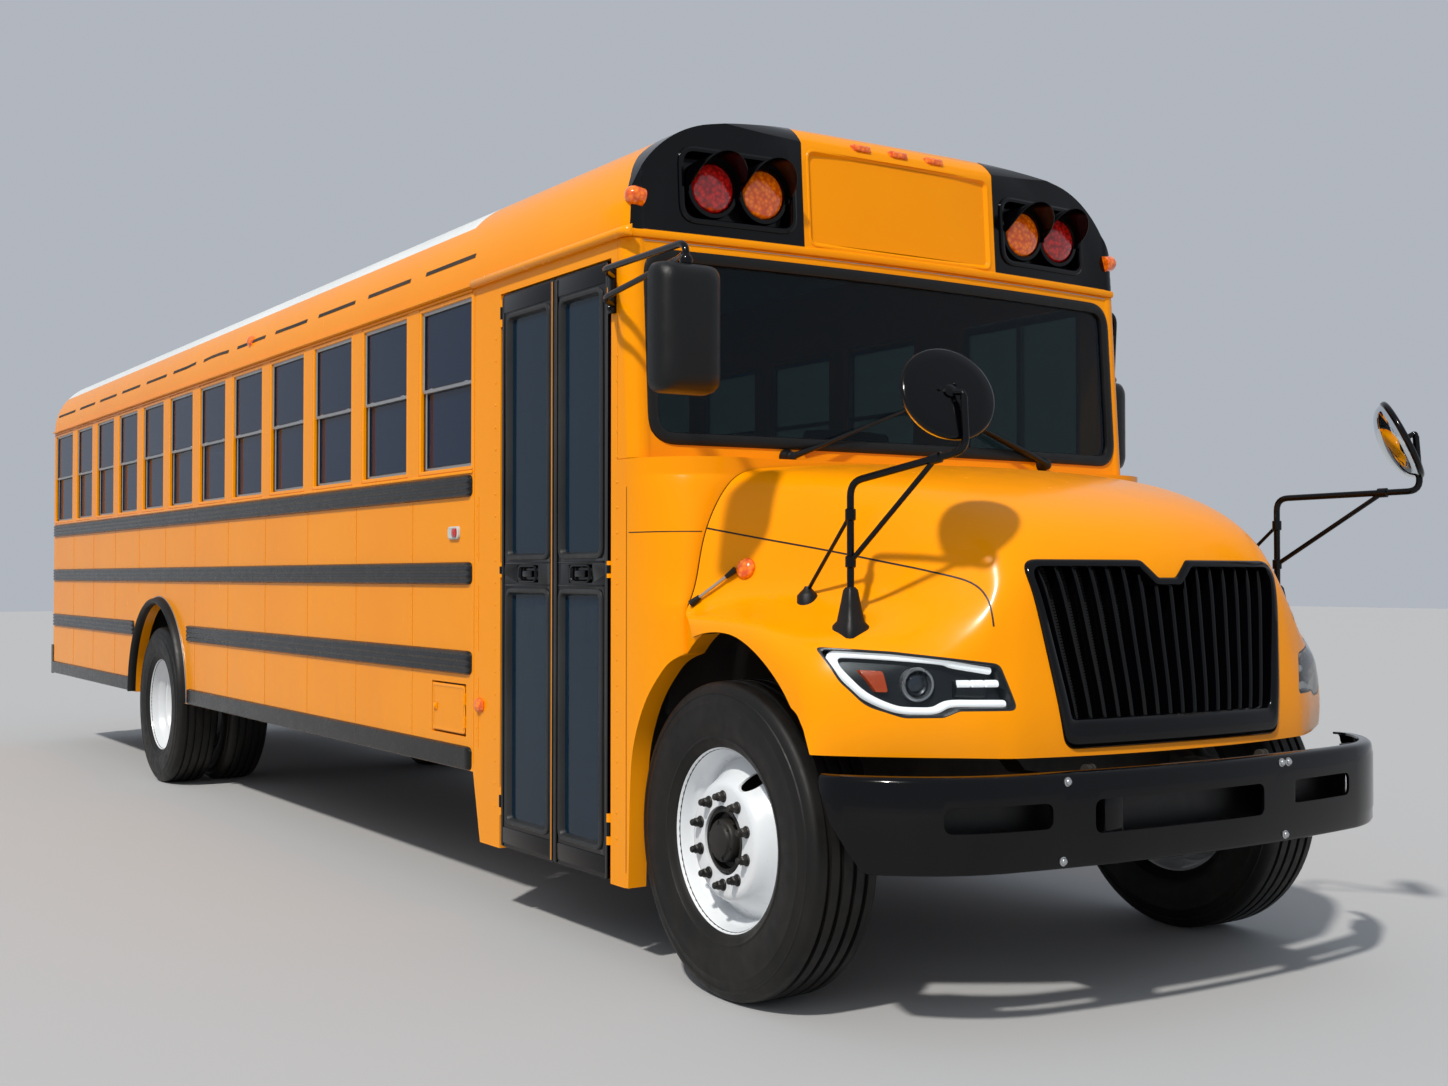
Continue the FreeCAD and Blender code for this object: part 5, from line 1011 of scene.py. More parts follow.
red_dome = lamp_lens("red_dome", (206, 26, 20), (120, 6, 8))
amber_dome = lamp_lens("amber_dome", (255, 132, 10), (206, 74, 0))
shells = bmesh.new()
for side, side_name in ((-1, "right"), (1, "left")):
    for x, material, tag in ((RED_X, red_dome, "red"), (AMBER_X, amber_dome, "amber")):
        centre = Vector((side * x, cap_y(side * x, WARNING_Z) + 0.012, WARNING_Z))
        centre.y = min(centre.y, cap_y(side * x, WARNING_Z - 0.07) + 0.02)
        back = Vector((side * x, frame_y(10340), REAR_WARNING_Z))
        front_lens = lathe(bmesh.new(), [(0.088, 0.0)] + dome(0.088, 0.004, 0.026), centre, (0, -1, 0), 44)
        new_object(f"{side_name}_{tag}_warning_lens", front_lens, material, smooth=60)
        lathe(shells, BEZEL, centre, (0, 1, 0), 44, ring=True)
        visor(shells, centre)
        rear_lens = lathe(bmesh.new(), [(0.080, 0.012)] + dome(0.080, 0.016, 0.022), back, (0, 1, 0))
        new_object(f"rear_{side_name}_{tag}_lens", rear_lens, material, smooth=60)
        lathe(shells, REAR_BEZEL, back, (0, 1, 0), ring=True)
new_object("warning_lamp_shells", shells, lamp_panel_black, stands_for="warning_lamps")

# ---- Marker lamps ----------------------------------------------------------------------------
# Amber lozenges on the brow and the rear, round ones on the sides, and reflectors low down, all
# moulded lenses screwed on.
ROUND_MARKER = ((0.034, -0.03), (0.034, 0.012), (0.030, 0.020), (0.024, 0.030), (0.012, 0.036), (0.0, 0.037))
bm = bmesh.new()
for x in (-0.183, 0.0, 0.183):
    y = cap_y(x, 3.024)
    block(bm, (x - 0.045, y - 0.010, 3.010), (x + 0.045, y + 0.05, 3.042), 0.009)
    block(bm, (x - 0.036, y - 0.018, 3.014), (x + 0.036, y, 3.036), 0.006)
    block(bm, (x - 0.04, frame_y(10335), 2.962), (x + 0.04, frame_y(10358), 2.994), 0.008)
for side in (-1, 1):
    for station, x in ((548, 1.166), (4921, 1.176)):
        lathe(bm, ROUND_MARKER, (side * (x + 0.012), frame_y(station), 2.726), (side, 0, 0.18), 28)
    block(bm, (side * 1.217, frame_y(1706), 0.826), (side * 1.232, frame_y(1784), 0.866), 0.007)
    lathe(bm, [(0.030, -0.004), (0.030, 0.008), (0.024, 0.018), (0.010, 0.023), (0.0, 0.0235)],
          (side * 1.219, frame_y(1745), 0.846), (side, 0, 0), 28)
new_object("marker_lenses", bm, amber_dome, stands_for="marker_lamps")

# ---- Windshield ------------------------------------------------------------------------------
# Bonded glass in a thick black gasket; the gasket follows the bow of the front. A painted brow
# and a bright seal close the joint to the cap above it.
gasket = finish("gasket_rubber", (5, 5, 5), 0.45, drift=0.15, grain=700, depth=0.0003, second=(10, 10, 9), gloss=0.35)
brushed = finish("anodised_bar", (176, 180, 182), 0.32, metal=0.85, drift=0.04, grain=1500, depth=0.0002,
                 stretch=(1, 0.05, 1))
shield_glass = clear("shield_glass", (2, 14, 26), 0.62)


def tube(bm, path, radius, sides=12, caps=True):
    """Round tube through points; radius may be one number or one per point."""
    points = [Vector(p) for p in path]
    radii = radius if isinstance(radius, (list, tuple)) else [radius] * len(points)
    across = (points[1] - points[0]).orthogonal().normalized()
    rings = []
    for k, point in enumerate(points):
        along = heading(points, k)
        across = (across - along * across.dot(along)).normalized()
        other = along.cross(across)
        rings.append([point + (across * u + other * v) * radii[k] for u, v in around(sides)])
    skirt(bm, rings, ends=caps)


SHIELD = rectangle(-1.136, 1.136, 1.862, 2.524)
GASKET_SECTION = ((-0.022, -0.004), (-0.018, 0.006), (-0.006, 0.011), (0.010, 0.010), (0.022, 0.003), (0.026, -0.010),
                  (0.026, -0.03))
BROW_SECTION = ((0.004, 2.612), (-0.012, 2.604), (-0.016, 2.590), (-0.012, 2.580), (0.012, 2.576), (0.030, 2.590))
FACE_BOW_R = (1.144 ** 2 + 0.060 ** 2) / 0.120


def on_face(u, v, depth):
    bow = FACE_BOW_R - math.sqrt(FACE_BOW_R ** 2 - min(abs(u), 1.16) ** 2)
    return Vector((u, frame_y(428) + 0.050 * (v - 1.789) / 0.789 + bow - depth, v))


outline = rounded_outline(SHIELD, 0.09, 8)
dense = []
for a, b in zip(outline, outline[1:] + outline[:1]):
    a, b = Vector(a), Vector(b)
    count = max(1, round((b - a).length / 0.09))
    dense += [a.lerp(b, i / count) for i in range(count)]
rings = []
for amount, depth in GASKET_SECTION:
    ring = []
    for k, point in enumerate(dense):
        along = (dense[(k + 1) % len(dense)] - dense[k - 1]).normalized()
        ring.append(on_face(*(point + Vector((-along.y, along.x)) * amount), depth))
    rings.append(ring)
bm = bmesh.new()
skirt(bm, rings)
new_object("windshield_gasket", bm, gasket)
pane = bmesh.new()
skirt(pane, [[on_face(-1.125 + 2.25 * k / 40, 1.870 + 0.646 * j / 12, -0.008) for k in range(41)] for j in range(13)],
      closed=False)
pane_outline = cutter(rounded_outline(inset(SHIELD, 0.006), 0.085, 8), "y", frame_y(300), frame_y(700))
pane = carve(thick(pane, 0.006), [pane_outline], keep=True)
new_object("windshield_glass", pane, shield_glass, stands_for="windshield")
brow, seal = bmesh.new(), bmesh.new()
skirt(brow, [[Vector((x, cap_y(x, 2.598) + out, z)) for out, z in BROW_SECTION]
             for x in [-1.195 + 2.39 * k / 48 for k in range(49)]], ends=True)
new_object("windshield_brow", brow, paint)
tube(seal, [(x, cap_y(x, 2.59) + 0.004, 2.570) for x in [-1.185 + 2.37 * k / 40 for k in range(41)]], 0.006, 8)
new_object("windshield_top_seal", seal, brushed)

# ---- Wipers ----------------------------------------------------------------------------------
# Two black arms on cast pivots; each carries a blade whose spine bows away from the glass and a
# rubber edge that lies on it.
PIVOT = ((0.030, -0.02), (0.030, 0.012), (0.022, 0.022), (0.020, 0.040), (0.012, 0.046), (0.0, 0.047))
bm = bmesh.new()
for pivot, end in (((-0.596, 1.812), (-0.235, 1.945)), ((0.689, 1.832), (0.335, 1.960))):
    base, tip = on_face(*pivot, 0.0), on_face(*end, 0.030)
    start = base + Vector((0, -0.034, 0))
    lathe(bm, PIVOT, base, (0, -1, 0), 24)
    bends = [start, start.lerp(tip, 0.3) + Vector((0, -0.012, 0)), start.lerp(tip, 0.75) + Vector((0, -0.006, 0)), tip]
    tube(bm, bends, [0.013, 0.009, 0.006, 0.005], 10)
    along = (tip - start).normalized()
    heel, toe = tip - along * 0.31, tip + along * 0.27
    spine = [on_face(p.x, p.z, lift) for p, lift in ((heel, 0.010), (heel.lerp(tip, 0.5), 0.021), (tip, 0.026),
                                                     (tip.lerp(toe, 0.5), 0.021), (toe, 0.010))]
    tube(bm, spine, 0.005, 8)
    tube(bm, [on_face(p.x, p.z, 0.006) for p in spine], 0.004, 6)
new_object("wiper_arms", bm, moulded, stands_for="wipers")

# ---- Side windows ----------------------------------------------------------------------------
# Bright extruded frames with two sliding sashes, the lower one further in, in painted surrounds.
# The driver's window slides to and fro, and the two rear windows are fixed in rubber.
yellow_plain = finish("yellow_enamel", BUS_YELLOW, 0.24, coat=0.12, drift=0.05, grain=420, depth=0.00004, gloss=0.18,
                      second=(240, 148, 0))
# The side glass is a real dark tint; its blue tone is painted reflection of a blue sky.
side_glass = clear("side_glass", (14, 34, 62), 0.40)

SKIN_X, WINDOW_X = 1.2195, 1.213
WINDOWS = [(FRONT_AXLE + 1.828 + 0.705 * k, 0.690 if k == 11 else 0.578) for k in range(12)]
# Upper and lower sash: foot, head, face and bar width, then the pane's foot, head and face.
SASHES = ((2.186, 2.549, -0.006, 0.016, 2.199, 2.536, -0.014), (1.836, 2.206, -0.018, 0.018, 1.851, 2.190, -0.026))
REAR_GASKET = ((-0.016, -0.004), (-0.012, 0.006), (0.004, 0.008), (0.014, 0.002), (0.016, -0.02))


def on_side(side, base=SKIN_X):
    return lambda u, v, depth: Vector((side * (base + depth), u, v))


def sash(bm, side, y0, y1, z0, z1, out, bar):
    """Extruded metal ring of one sash, its outer face out metres from the wall skin."""
    section = ((0.0, out - 0.022), (0.0, out), (0.003, out + 0.002), (bar - 0.004, out + 0.002), (bar, out - 0.002),
               (bar, out - 0.014))
    moulding(bm, rectangle(y0, y1, z0, z1), 0.014, section, on_side(side, WINDOW_X), 3)


bars, panes, seals, surrounds = bmesh.new(), bmesh.new(), bmesh.new(), bmesh.new()
for side in (-1, 1):
    for y0, width in WINDOWS:
        y1 = y0 + width
        sash(surrounds, side, y0 + 0.001, y1 - 0.001, 1.821, 2.564, 0.004, 0.018)
        for foot, head, out, bar, low, high, back in SASHES:
            sash(bars, side, y0 + 0.017, y1 - 0.017, foot, head, out, bar)
            block(panes, (side * (WINDOW_X + back), y0 + 0.031, low),
                  (side * (WINDOW_X + back - 0.006), y1 - 0.031, high))
            moulding(seals, rectangle(y0 + 0.030, y1 - 0.030, low - 0.002, high + 0.002), 0.014,
                     ((0.0, back + 0.001), (0.001, back + 0.006), (0.008, back + 0.005), (0.009, back)),
                     on_side(side, WINDOW_X), 3)
        for y in (y0 + 0.10, y1 - 0.10):
            block(bars, (side * 1.199, y - 0.018, 2.192), (side * 1.206, y + 0.018, 2.205), 0.002)
y0, y1 = frame_y(700), frame_y(1500)
sash(bars, 1, y0 + 0.002, y1 - 0.002, 1.762, 2.563, 0.003, 0.024)
for low, high, out in ((y0 + 0.022, frame_y(1110), -0.020), (frame_y(1092), y1 - 0.022, -0.008)):
    sash(bars, 1, low, high, 1.782, 2.543, out, 0.020)
    block(panes, (1.187, low + 0.018, 1.800), (1.193, high - 0.018, 2.526))
for x in (-0.845, 0.845):
    moulding(seals, rectangle(-0.285, 0.285, 1.640, 2.420), 0.05, REAR_GASKET,
             lambda u, v, depth: Vector((x + u, frame_y(10348) + depth, v)), 6)
    block(panes, (x - 0.283, frame_y(10314), 1.642), (x + 0.283, frame_y(10320), 2.418))
new_object("window_bars", bars, brushed, smooth=30, stands_for="window_frames")
new_object("window_panes", panes, side_glass, smooth=30, stands_for="window_glass")
new_object("window_seals", seals, gasket)
new_object("window_surrounds", surrounds, yellow_plain, smooth=30)

# ---- Rub rails -------------------------------------------------------------------------------
# Rolled black rails with three flutes and pressed ends, screwed to the side at each frame. The
# lowest, along the skirt, is plain. The lower two stop at the rear wheel arches.
rail_black = finish("rail_black", (4, 4, 5), 0.28, coat=0.15, drift=0.1, grain=600, depth=0.0002, film=0.04,
                    second=(7, 7, 7), gloss=0.25)

RAIL_START, TAIL = 1828, 10279
RAILS = ((RAIL_START, TAIL, 1.708, 1.801, 3), (RAIL_START, TAIL, 1.340, 1.436, 3),
         (RAIL_START, 6170, 0.963, 1.064, 3), (7530, TAIL, 0.963, 1.064, 3),
         (RAIL_START, 6140, 0.565, 0.665, 0), (7560, TAIL, 0.565, 0.665, 0))
# Distance from an end, with the share of the rail's depth and of its height there.
RAIL_ENDS = ((0, 0.15, 0.62), (8, 0.6, 0.84), (22, 0.92, 0.96), (45, 1.0, 1.0))

bm = bmesh.new()
for side in (-1, 1):
    for start, end, low, high, flutes in RAILS:
        count = 8 * flutes if flutes else 4
        dips = [0.0075 * (0.5 - 0.5 * math.cos(2 * math.pi * flutes * k / count)) for k in range(count + 1)]
        face = [(0.0, -1.0), (0.012, -0.93)] + [(0.0165 - dip, -0.86 + 1.72 * k / count) for k, dip in enumerate(dips)]
        face += [(0.012, 0.93), (0.0, 1.0)]
        stations = [(start + run, rise, tall) for run, rise, tall in RAIL_ENDS]
        stations += [(end - run, rise, tall) for run, rise, tall in reversed(RAIL_ENDS)]
        skirt(bm, [[Vector((side * (1.218 + out * rise), frame_y(station), (low + high + up * (high - low) * tall) / 2))
                    for out, up in face] for station, rise, tall in stations], ends=True)
new_object("fluted_rub_rails", bm, rail_black, smooth=50, stands_for="rub_rails")

# ---- Rear wheel arch trims -------------------------------------------------------------------
# Moulded rubber flare round each rear arch: a round lip with a thin bright edge, screwed to the
# side from behind.
REAR_AXLE, ARCH_R, ARCH_Z = 6850, 0.651, 0.564
FLARE_SECTION = ((-0.022, 0.0), (-0.023, 0.030), (-0.016, 0.046), (0.0, 0.052), (0.012, 0.044), (0.018, 0.024),
                 (0.022, 0.008), (0.024, 0.0))
arch = [(-ARCH_R, 0.570), (-ARCH_R, 0.600)]
arch += [(ARCH_R * math.cos(a), ARCH_Z + ARCH_R * math.sin(a)) for a in [math.radians(d) for d in range(176, 3, -4)]]
arch += [(ARCH_R, 0.600), (ARCH_R, 0.570)]
flares, edges = bmesh.new(), bmesh.new()
for side in (-1, 1):
    rows, rim = [], []
    for k, (u, v) in enumerate(arch):
        along = heading(arch, k)
        y = frame_y(REAR_AXLE) + u
        rows.append([Vector((side * (1.2185 + proud), y - along.y * w, v + along.x * w)) for w, proud in FLARE_SECTION])
        rim.append(Vector((side * 1.222, y - along.y * 0.026, v + along.x * 0.026)))
    skirt(flares, rows, ends=True)
    tube(edges, rim, 0.0035, 6)
new_object("rear_arch_flares", flares, gasket, smooth=50, stands_for="wheel_arch_trims")
new_object("rear_arch_edges", edges, brushed, smooth=50)

# ---- Panel seams, rivets, drip rails and roof shadow dashes ----------------------------------
# The side is sheets lapped at every frame, with a row of small rivets on each lap; a drip rail
# runs along the roof edge and a larger one shields the entry door.
cast = finish("cast_iron", (54, 52, 50), 0.65, metal=0.55, drift=0.2, grain=260, depth=0.0012, film=0.45,
              second=(84, 66, 50))


def line_on(bm, tree, path, width, proud):
    """Narrow band that follows a surface along points near it."""
    rows = []
    points = [Vector(p) for p in path]
    for k, point in enumerate(points):
        place, normal, _, _ = tree.find_nearest(point)
        across = heading(points, k).cross(normal).normalized() * width / 2
        rows.append([place + across + normal * proud, place - across + normal * proud])
    skirt(bm, rows, closed=False)


RIVET, DOOR_RIVET = ((0.0042, 0.0), (0.003, 0.0018), (0.0, 0.0022)), ((0.005, 0.0), (0.0038, 0.002), (0.0, 0.0028))
RIVET_PITCH = 0.05
SHEETS = ((0.668, 0.960), (1.067, 1.337), (1.439, 1.705))
AWNING = ((0.0, 2.578), (0.016, 2.572), (0.030, 2.578), (0.036, 2.590), (0.030, 2.604), (0.012, 2.611), (0.0, 2.614))
AWNING_RUN = ((500, 0.3), (515, 0.8), (545, 1.0), (1790, 1.0), (1810, 0.8), (1817, 0.3))
seams, rivets, drips, shadow_dashes = bmesh.new(), bmesh.new(), bmesh.new(), bmesh.new()
roof_tree = tree_of(frame["nodes"]["roof"].data)
for side in (-1, 1):
    x = side * SKIN_X
    for start, width in WINDOWS:
        y = start - 0.0635
        for low, high in SHEETS:
            if frame_y(6140) < y < frame_y(7560) and low < 1.2:
                low = max(low, 1.262)
            if low < high:
                block(seams, (x, y - 0.0012, low), (x + side * 0.0012, y + 0.0012, high))
                for k in range(int((high - low) / RIVET_PITCH)):
                    lathe(rivets, RIVET, (x, y + 0.014, low + 0.03 + RIVET_PITCH * k), (side, 0, 0), 8)
        # Dark dashes along the roof edge are painted shadow of small gaps there.
        dash = [(side * 1.206, start + width * t, 2.722) for t in (0.02, 0.35, 0.65, 0.93)]
        line_on(shadow_dashes, roof_tree, dash, 0.020, 0.0015)
    for low, high in ((1.806, 1.818), (2.567, 2.576)):
        block(drips, (x, frame_y(1826), low), (x + side * 0.005, frame_y(10270), high), 0.0015)
    block(seams, (x, frame_y(1810) - 0.0015, 0.60), (x + side * 0.0014, frame_y(1810) + 0.0015, 2.575))
skirt(drips, [[Vector((-1.216 - out * reach, frame_y(station), z)) for out, z in AWNING]
              for station, reach in AWNING_RUN], ends=True)
for k in range(22):
    for station in (600, 1604):
        lathe(rivets, DOOR_RIVET, (-SKIN_X, frame_y(station), 0.45 + 0.09 * k), (-1, 0, 0), 8)
new_object("panel_seams", seams, yellow_plain, smooth=30)
new_object("panel_rivets", rivets, yellow_plain, smooth=50)
new_object("drip_rails", drips, yellow_plain, smooth=50)
# The dark finish on the roof dashes paints shadow.
new_object("roof_edge_shadow_dashes", shadow_dashes, cast, smooth=30)

# ---- Battery hatch edge and clearance lamp ---------------------------------------------------
# The hatch is a rounded steel door with a pressed seam all round and a recessed latch. Above it
# sits a small grey clearance lamp with a red half.
cream = finish("interior_enamel", (196, 198, 192), 0.5, drift=0.05)

HATCH_EDGE = ((-0.001, 0.0002), (0.001, 0.0016), (0.006, 0.0022), (0.011, 0.0006))
bm = bmesh.new()
moulding(bm, rectangle(frame_y(1896), frame_y(2234), 0.714, 0.912), 0.018, HATCH_EDGE, on_side(-1), 4)
block(bm, (-1.2245, frame_y(2186), 0.796), (-SKIN_X, frame_y(2218), 0.830), 0.004)
lathe(bm, [(0.011, 0.004), (0.011, 0.008), (0.008, 0.0095), (0.0, 0.0095)], (-1.2205, frame_y(2202), 0.813),
      (-1, 0, 0), 20)
new_object("battery_hatch_edge", bm, yellow_plain, "battery_hatch")

for name, corners, radius, section, material in (
        ("base", rectangle(frame_y(1950), frame_y(2058), 1.532, 1.588), 0.02,
         ((0.0, 0.0), (0.001, 0.010), (0.006, 0.013), (0.012, 0.012)), cream),
        ("lens", rectangle(frame_y(1958), frame_y(2006), 1.540, 1.580), 0.014,
         ((0.0, 0.010), (0.002, 0.017), (0.008, 0.020)), red_dome)):
    bm = bmesh.new()
    moulding(bm, corners, radius, section, on_side(-1), 5, False, True)
    new_object("clearance_lamp_" + name, bm, material)

# ---- Entry door ------------------------------------------------------------------------------
# Two narrow black leaves that fold outwards, each with an upper and a lower pane in a thick
# rubber gasket; soft rubber edges meet in the middle, one with a yellow line.
door_rubber = finish("door_rubber", (16, 17, 18), 0.45, drift=0.15, grain=700, depth=0.0003, second=(40, 41, 42))

LEAF_GASKET = ((-0.004, 0.0), (-0.002, 0.006), (0.006, 0.009), (0.014, 0.006), (0.018, -0.002), (0.022, -0.014),
               (0.024, -0.022))
PULL_SECTION = ((-0.004, 0.0), (-0.002, 0.006), (0.003, 0.007), (0.007, 0.003), (0.010, -0.010))
# Name, its ends, its glass's ends, and the way from its meeting edge to its hinge.
for name, s0, s1, glass0, glass1, meet, hinge, way in (
        ("front", 667, 1078, 721, 1030, 1078, 667, 1), ("rear", 1090, 1538, 1138, 1484, 1090, 1538, -1)):
    trim, panel, body = bmesh.new(), bmesh.new(), f"entry_{name}_leaf"
    middle = (glass0 + glass1) / 2
    for low, high in ((0.405, 1.314), (1.455, 2.410)):
        moulding(trim, rectangle(frame_y(glass0) - 0.012, frame_y(glass1) + 0.012, low - 0.012, high + 0.012), 0.04,
                 LEAF_GASKET, on_side(-1, 1.2185), 6)
    moulding(panel, rectangle(frame_y(middle - 74), frame_y(middle + 74), 1.354, 1.416), 0.02, PULL_SECTION,
             on_side(-1, 1.2185), 5)
    # Bars, rubber edges and plates: stations, heights, outer and inner face, rounding.
    for bm, ahead, behind, low, high, out, back, soft in (
            (panel, glass0 - 22, glass1 + 22, 1.338, 1.345, 1.2225, 1.2175, 0.002),
            (panel, glass0 - 22, glass1 + 22, 1.424, 1.431, 1.2225, 1.2175, 0.002),
            (panel, middle - 40, middle + 40, 1.372, 1.398, 1.2235, 1.2160, 0.005),
            (trim, meet, meet - way * 20, 0.300, 2.500, 1.2262, 1.2175, 0.004),
            (trim, hinge, hinge + way * 14, 0.300, 2.500, 1.2235, 1.2175, 0.003),
            (panel, s0 + 4, s1 - 4, 2.432, 2.500, 1.2225, 1.2180, 0.002),
            (panel, s0 + 16, s1 - 16, 0.312, 0.376, 1.2225, 1.2180, 0.002)):
        block(bm, (-out, frame_y(ahead), low), (-back, frame_y(behind), high), soft)
    new_object(body + "_gaskets", trim, door_rubber, body)
    if name == "rear":
        line = block(bmesh.new(), (-1.2272, frame_y(1091), 0.305), (-1.2255, frame_y(1095), 2.495))
        new_object("entry_door_meeting_edge", line, yellow_plain, body)
    new_object(body + "_fittings", panel, lamp_panel_black, body)

# ---- Door mirrors ----------------------------------------------------------------------------
# Moulded housings on bent steel tube, bolted to brackets on the corner posts. The right head
# carries a flat and a convex glass, the left one a single glass.
mirror_glass = finish("mirror_glass", (214, 220, 224), 0.03, metal=1.0, drift=0.01, grain=8, depth=0.00001)


def bent(points, radius, steps=6):
    """A path whose corners are arcs of about radius."""
    points = [Vector(p) for p in points]
    path = [points[0]]
    for before, here, after in zip(points, points[1:], points[2:]):
        a, b = (before - here), (after - here)
        run = min(radius, a.length * 0.45, b.length * 0.45)
        start, end = here + a.normalized() * run, here + b.normalized() * run
        path += [start.lerp(here, t).lerp(here.lerp(end, t), t) for t in [i / steps for i in range(steps + 1)]]
    return path + [points[-1]]


HEAD_SECTION = ((0.040, 0.0), (0.034, -0.002), (0.0, 0.0), (-0.026, 0.006), (-0.046, 0.020), (-0.058, 0.040),
                (-0.062, 0.066))
RIGHT_X, LEFT_X, POST_X = -1.390, 1.318, 1.338


def standing(x, y, half_w, low, high, shrink, radius):
    """Rounded outline in an upright plane across the bus."""
    outline = rounded_outline(inset(rectangle(x - half_w, x + half_w, low, high), shrink), radius, 6)
    return [Vector((u, y, v)) for u, v in outline]


heads, arms, faces = bmesh.new(), bmesh.new(), bmesh.new()
for x, station, half_w, low, high in ((RIGHT_X, -140, 0.116, 1.947, 2.353), (LEFT_X, 680, 0.076, 1.844, 2.236)):
    skirt(heads, [standing(x, frame_y(station) + depth, half_w, low, high, shrink, 0.045)
                  for depth, shrink in HEAD_SECTION], ends=True)
for x, station, half_w, low, high in ((RIGHT_X, -100, 0.104, 2.075, 2.341), (RIGHT_X, -100, 0.104, 1.959, 2.062),
                                      (LEFT_X, 720, 0.066, 1.856, 2.224)):
    loops = skirt(faces, [standing(x, frame_y(station) + lift, half_w, low, high, shrink, 0.036)
                          for shrink, lift in ((0.0, 0.0), (0.001, 0.0015))])
    faces.faces.new(list(reversed(loops[-1])))
ARM_PATHS = (
    (((-1.229, 616, 2.440), (-1.329, 506, 2.440), (RIGHT_X, -140, 2.420), (RIGHT_X, -140, 2.315)), 0.0115),
    (((-1.229, 616, 2.340), (-1.329, 506, 2.340), (-1.362, -48, 2.385), (RIGHT_X, -130, 2.385)), 0.0105),
    (((1.229, 650, 2.535), (POST_X, 660, 2.535), (POST_X, 680, 2.20)), 0.0115),
    (((1.229, 650, 2.435), (POST_X, 668, 2.435)), 0.0115))
for path, radius in ARM_PATHS:
    tube(arms, bent([(x, frame_y(station), z) for x, station, z in path], 0.05), radius, 14)
for side, low, high, station in ((-1, 2.31, 2.48, 620), (1, 2.395, 2.565, 650)):
    block(arms, (side * 1.219, frame_y(station - 16), low), (side * 1.241, frame_y(station + 16), high), 0.005)
    for z in (low + 0.02, high - 0.02):
        lathe(arms, [(0.010, 0.0), (0.010, 0.004), (0.006, 0.008), (0.0, 0.008)], (side * 1.241, frame_y(station), z),
              (side, 0, 0), 12)
for x, station, z in ((RIGHT_X, -140, 2.352), (POST_X, 680, 2.236)):
    lathe(arms, [(0.020, 0.0), (0.022, 0.012), (0.016, 0.024), (0.012, 0.030)], (x, frame_y(station), z), (0, 0, 1), 20)
new_object("door_mirror_heads", heads, moulded, smooth=45, stands_for="door_mirrors")
new_object("door_mirror_arms", arms, lamp_panel_black, smooth=45)
new_object("door_mirror_glass", faces, mirror_glass, smooth=45)

# ---- Cross-view mirrors ----------------------------------------------------------------------
# A domed dish on a bent tube with a brace and a stay, on rubber boots bolted to each fender, so
# they ride on the hood.
POST_STATION, STAY_STATION = -470, -205
BOOT_SECTION = ((-0.03, 0.046, 0.052), (0.006, 0.045, 0.050), (0.02, 0.034, 0.038), (0.07, 0.026, 0.028),
                (0.115, 0.019, 0.020), (0.125, 0.0125, 0.0125))
STAY_BOOT = ((0.036, -0.03), (0.035, 0.004), (0.026, 0.014), (0.014, 0.026), (0.010, 0.034))
CLAMP = ((0.0105, -0.020), (0.017, -0.016), (0.017, 0.016), (0.0105, 0.020))
DISH_BACK = ((0.143, 0.012), (0.149, 0.008), (0.151, 0.0), (0.149, -0.006), (0.143, -0.010), (0.110, -0.013),
             (0.060, -0.0155), (0.0, -0.016))
# Side, the arm's end and tip, the dish's middle, and the way the dish faces.
ARMS = ((-1, (-0.900, -890, 1.742), (-0.884, -862, 1.900), (-0.898, -806, 1.912), (0.22, 0.89, -0.38)),
        (1, (1.100, -1000, 1.675), (1.105, -980, 1.868), (1.078, -945, 1.856), (-0.55, 0.68, -0.42)))


def placed(x, station, z):
    return Vector((x, frame_y(station), z))


def hood_top(x, station):
    return nose_tree.ray_cast(placed(x, station, 3), Vector((0, 0, -1)))[0].z


tubes, boots, dish_backs, dish_faces = bmesh.new(), bmesh.new(), bmesh.new(), bmesh.new()
for side, end, tip, middle, facing in ARMS:
    post, stay_x, up = side * 1.0, side * 0.970, Vector((0, 0, 1))
    end, tip, middle, axis = placed(*end), placed(*tip), placed(*middle), Vector(facing).normalized()
    top, brace = placed(post, POST_STATION, 1.665), placed(post, POST_STATION, 1.420)
    reach = end - top
    tube(tubes, bent([placed(post, POST_STATION, 1.30), top, end, tip], 0.045), 0.0115, 14)
    tube(tubes, bent([tip - up * 0.01, tip + up * 0.012, middle - axis * 0.010], 0.012, 4), 0.009, 12)
    tube(tubes, [brace, top + reach * 0.75], 0.0085, 12)
    for point, along in ((top + reach * 0.75, reach), (brace, up), (top - up * 0.10, up)):
        lathe(tubes, CLAMP, point, along, 16, ring=True)
    base = placed(post, POST_STATION, hood_top(post, POST_STATION))
    rings = []
    for lift, wide, long in BOOT_SECTION:
        outline = rounded_outline(rectangle(-wide, wide, -long, long), wide * 0.6, 4)
        rings.append([base + Vector((u, v, lift)) for u, v in outline])
    skirt(boots, rings, ends=True)
    pad = placed(stay_x, STAY_STATION, hood_top(stay_x, STAY_STATION))
    lathe(boots, STAY_BOOT, pad, up, 24)
    tube(tubes, [pad + up * 0.02, placed(post, -465, 1.560)], 0.0065, 10)
    lathe(dish_backs, DISH_BACK, middle, axis, 56)
    lathe(dish_backs, [(0.020, -0.014), (0.020, -0.022), (0.012, -0.026), (0.0, -0.027)], middle, axis, 20)
    for turn in range(3):
        across = Matrix.Rotation(turn * 2.094, 3, axis) @ axis.orthogonal().normalized()
        lathe(dish_backs, [(0.006, -0.014), (0.006, -0.020), (0.0, -0.021)], middle + across * 0.034, axis, 10)
    lathe(dish_faces, [(0.143, 0.010)] + dome(0.143, 0.010, 0.066, 6), middle, axis, 56)
new_object("cross_view_tubes", tubes, lamp_panel_black, "hood", 45, stands_for="cross_view_mirrors")
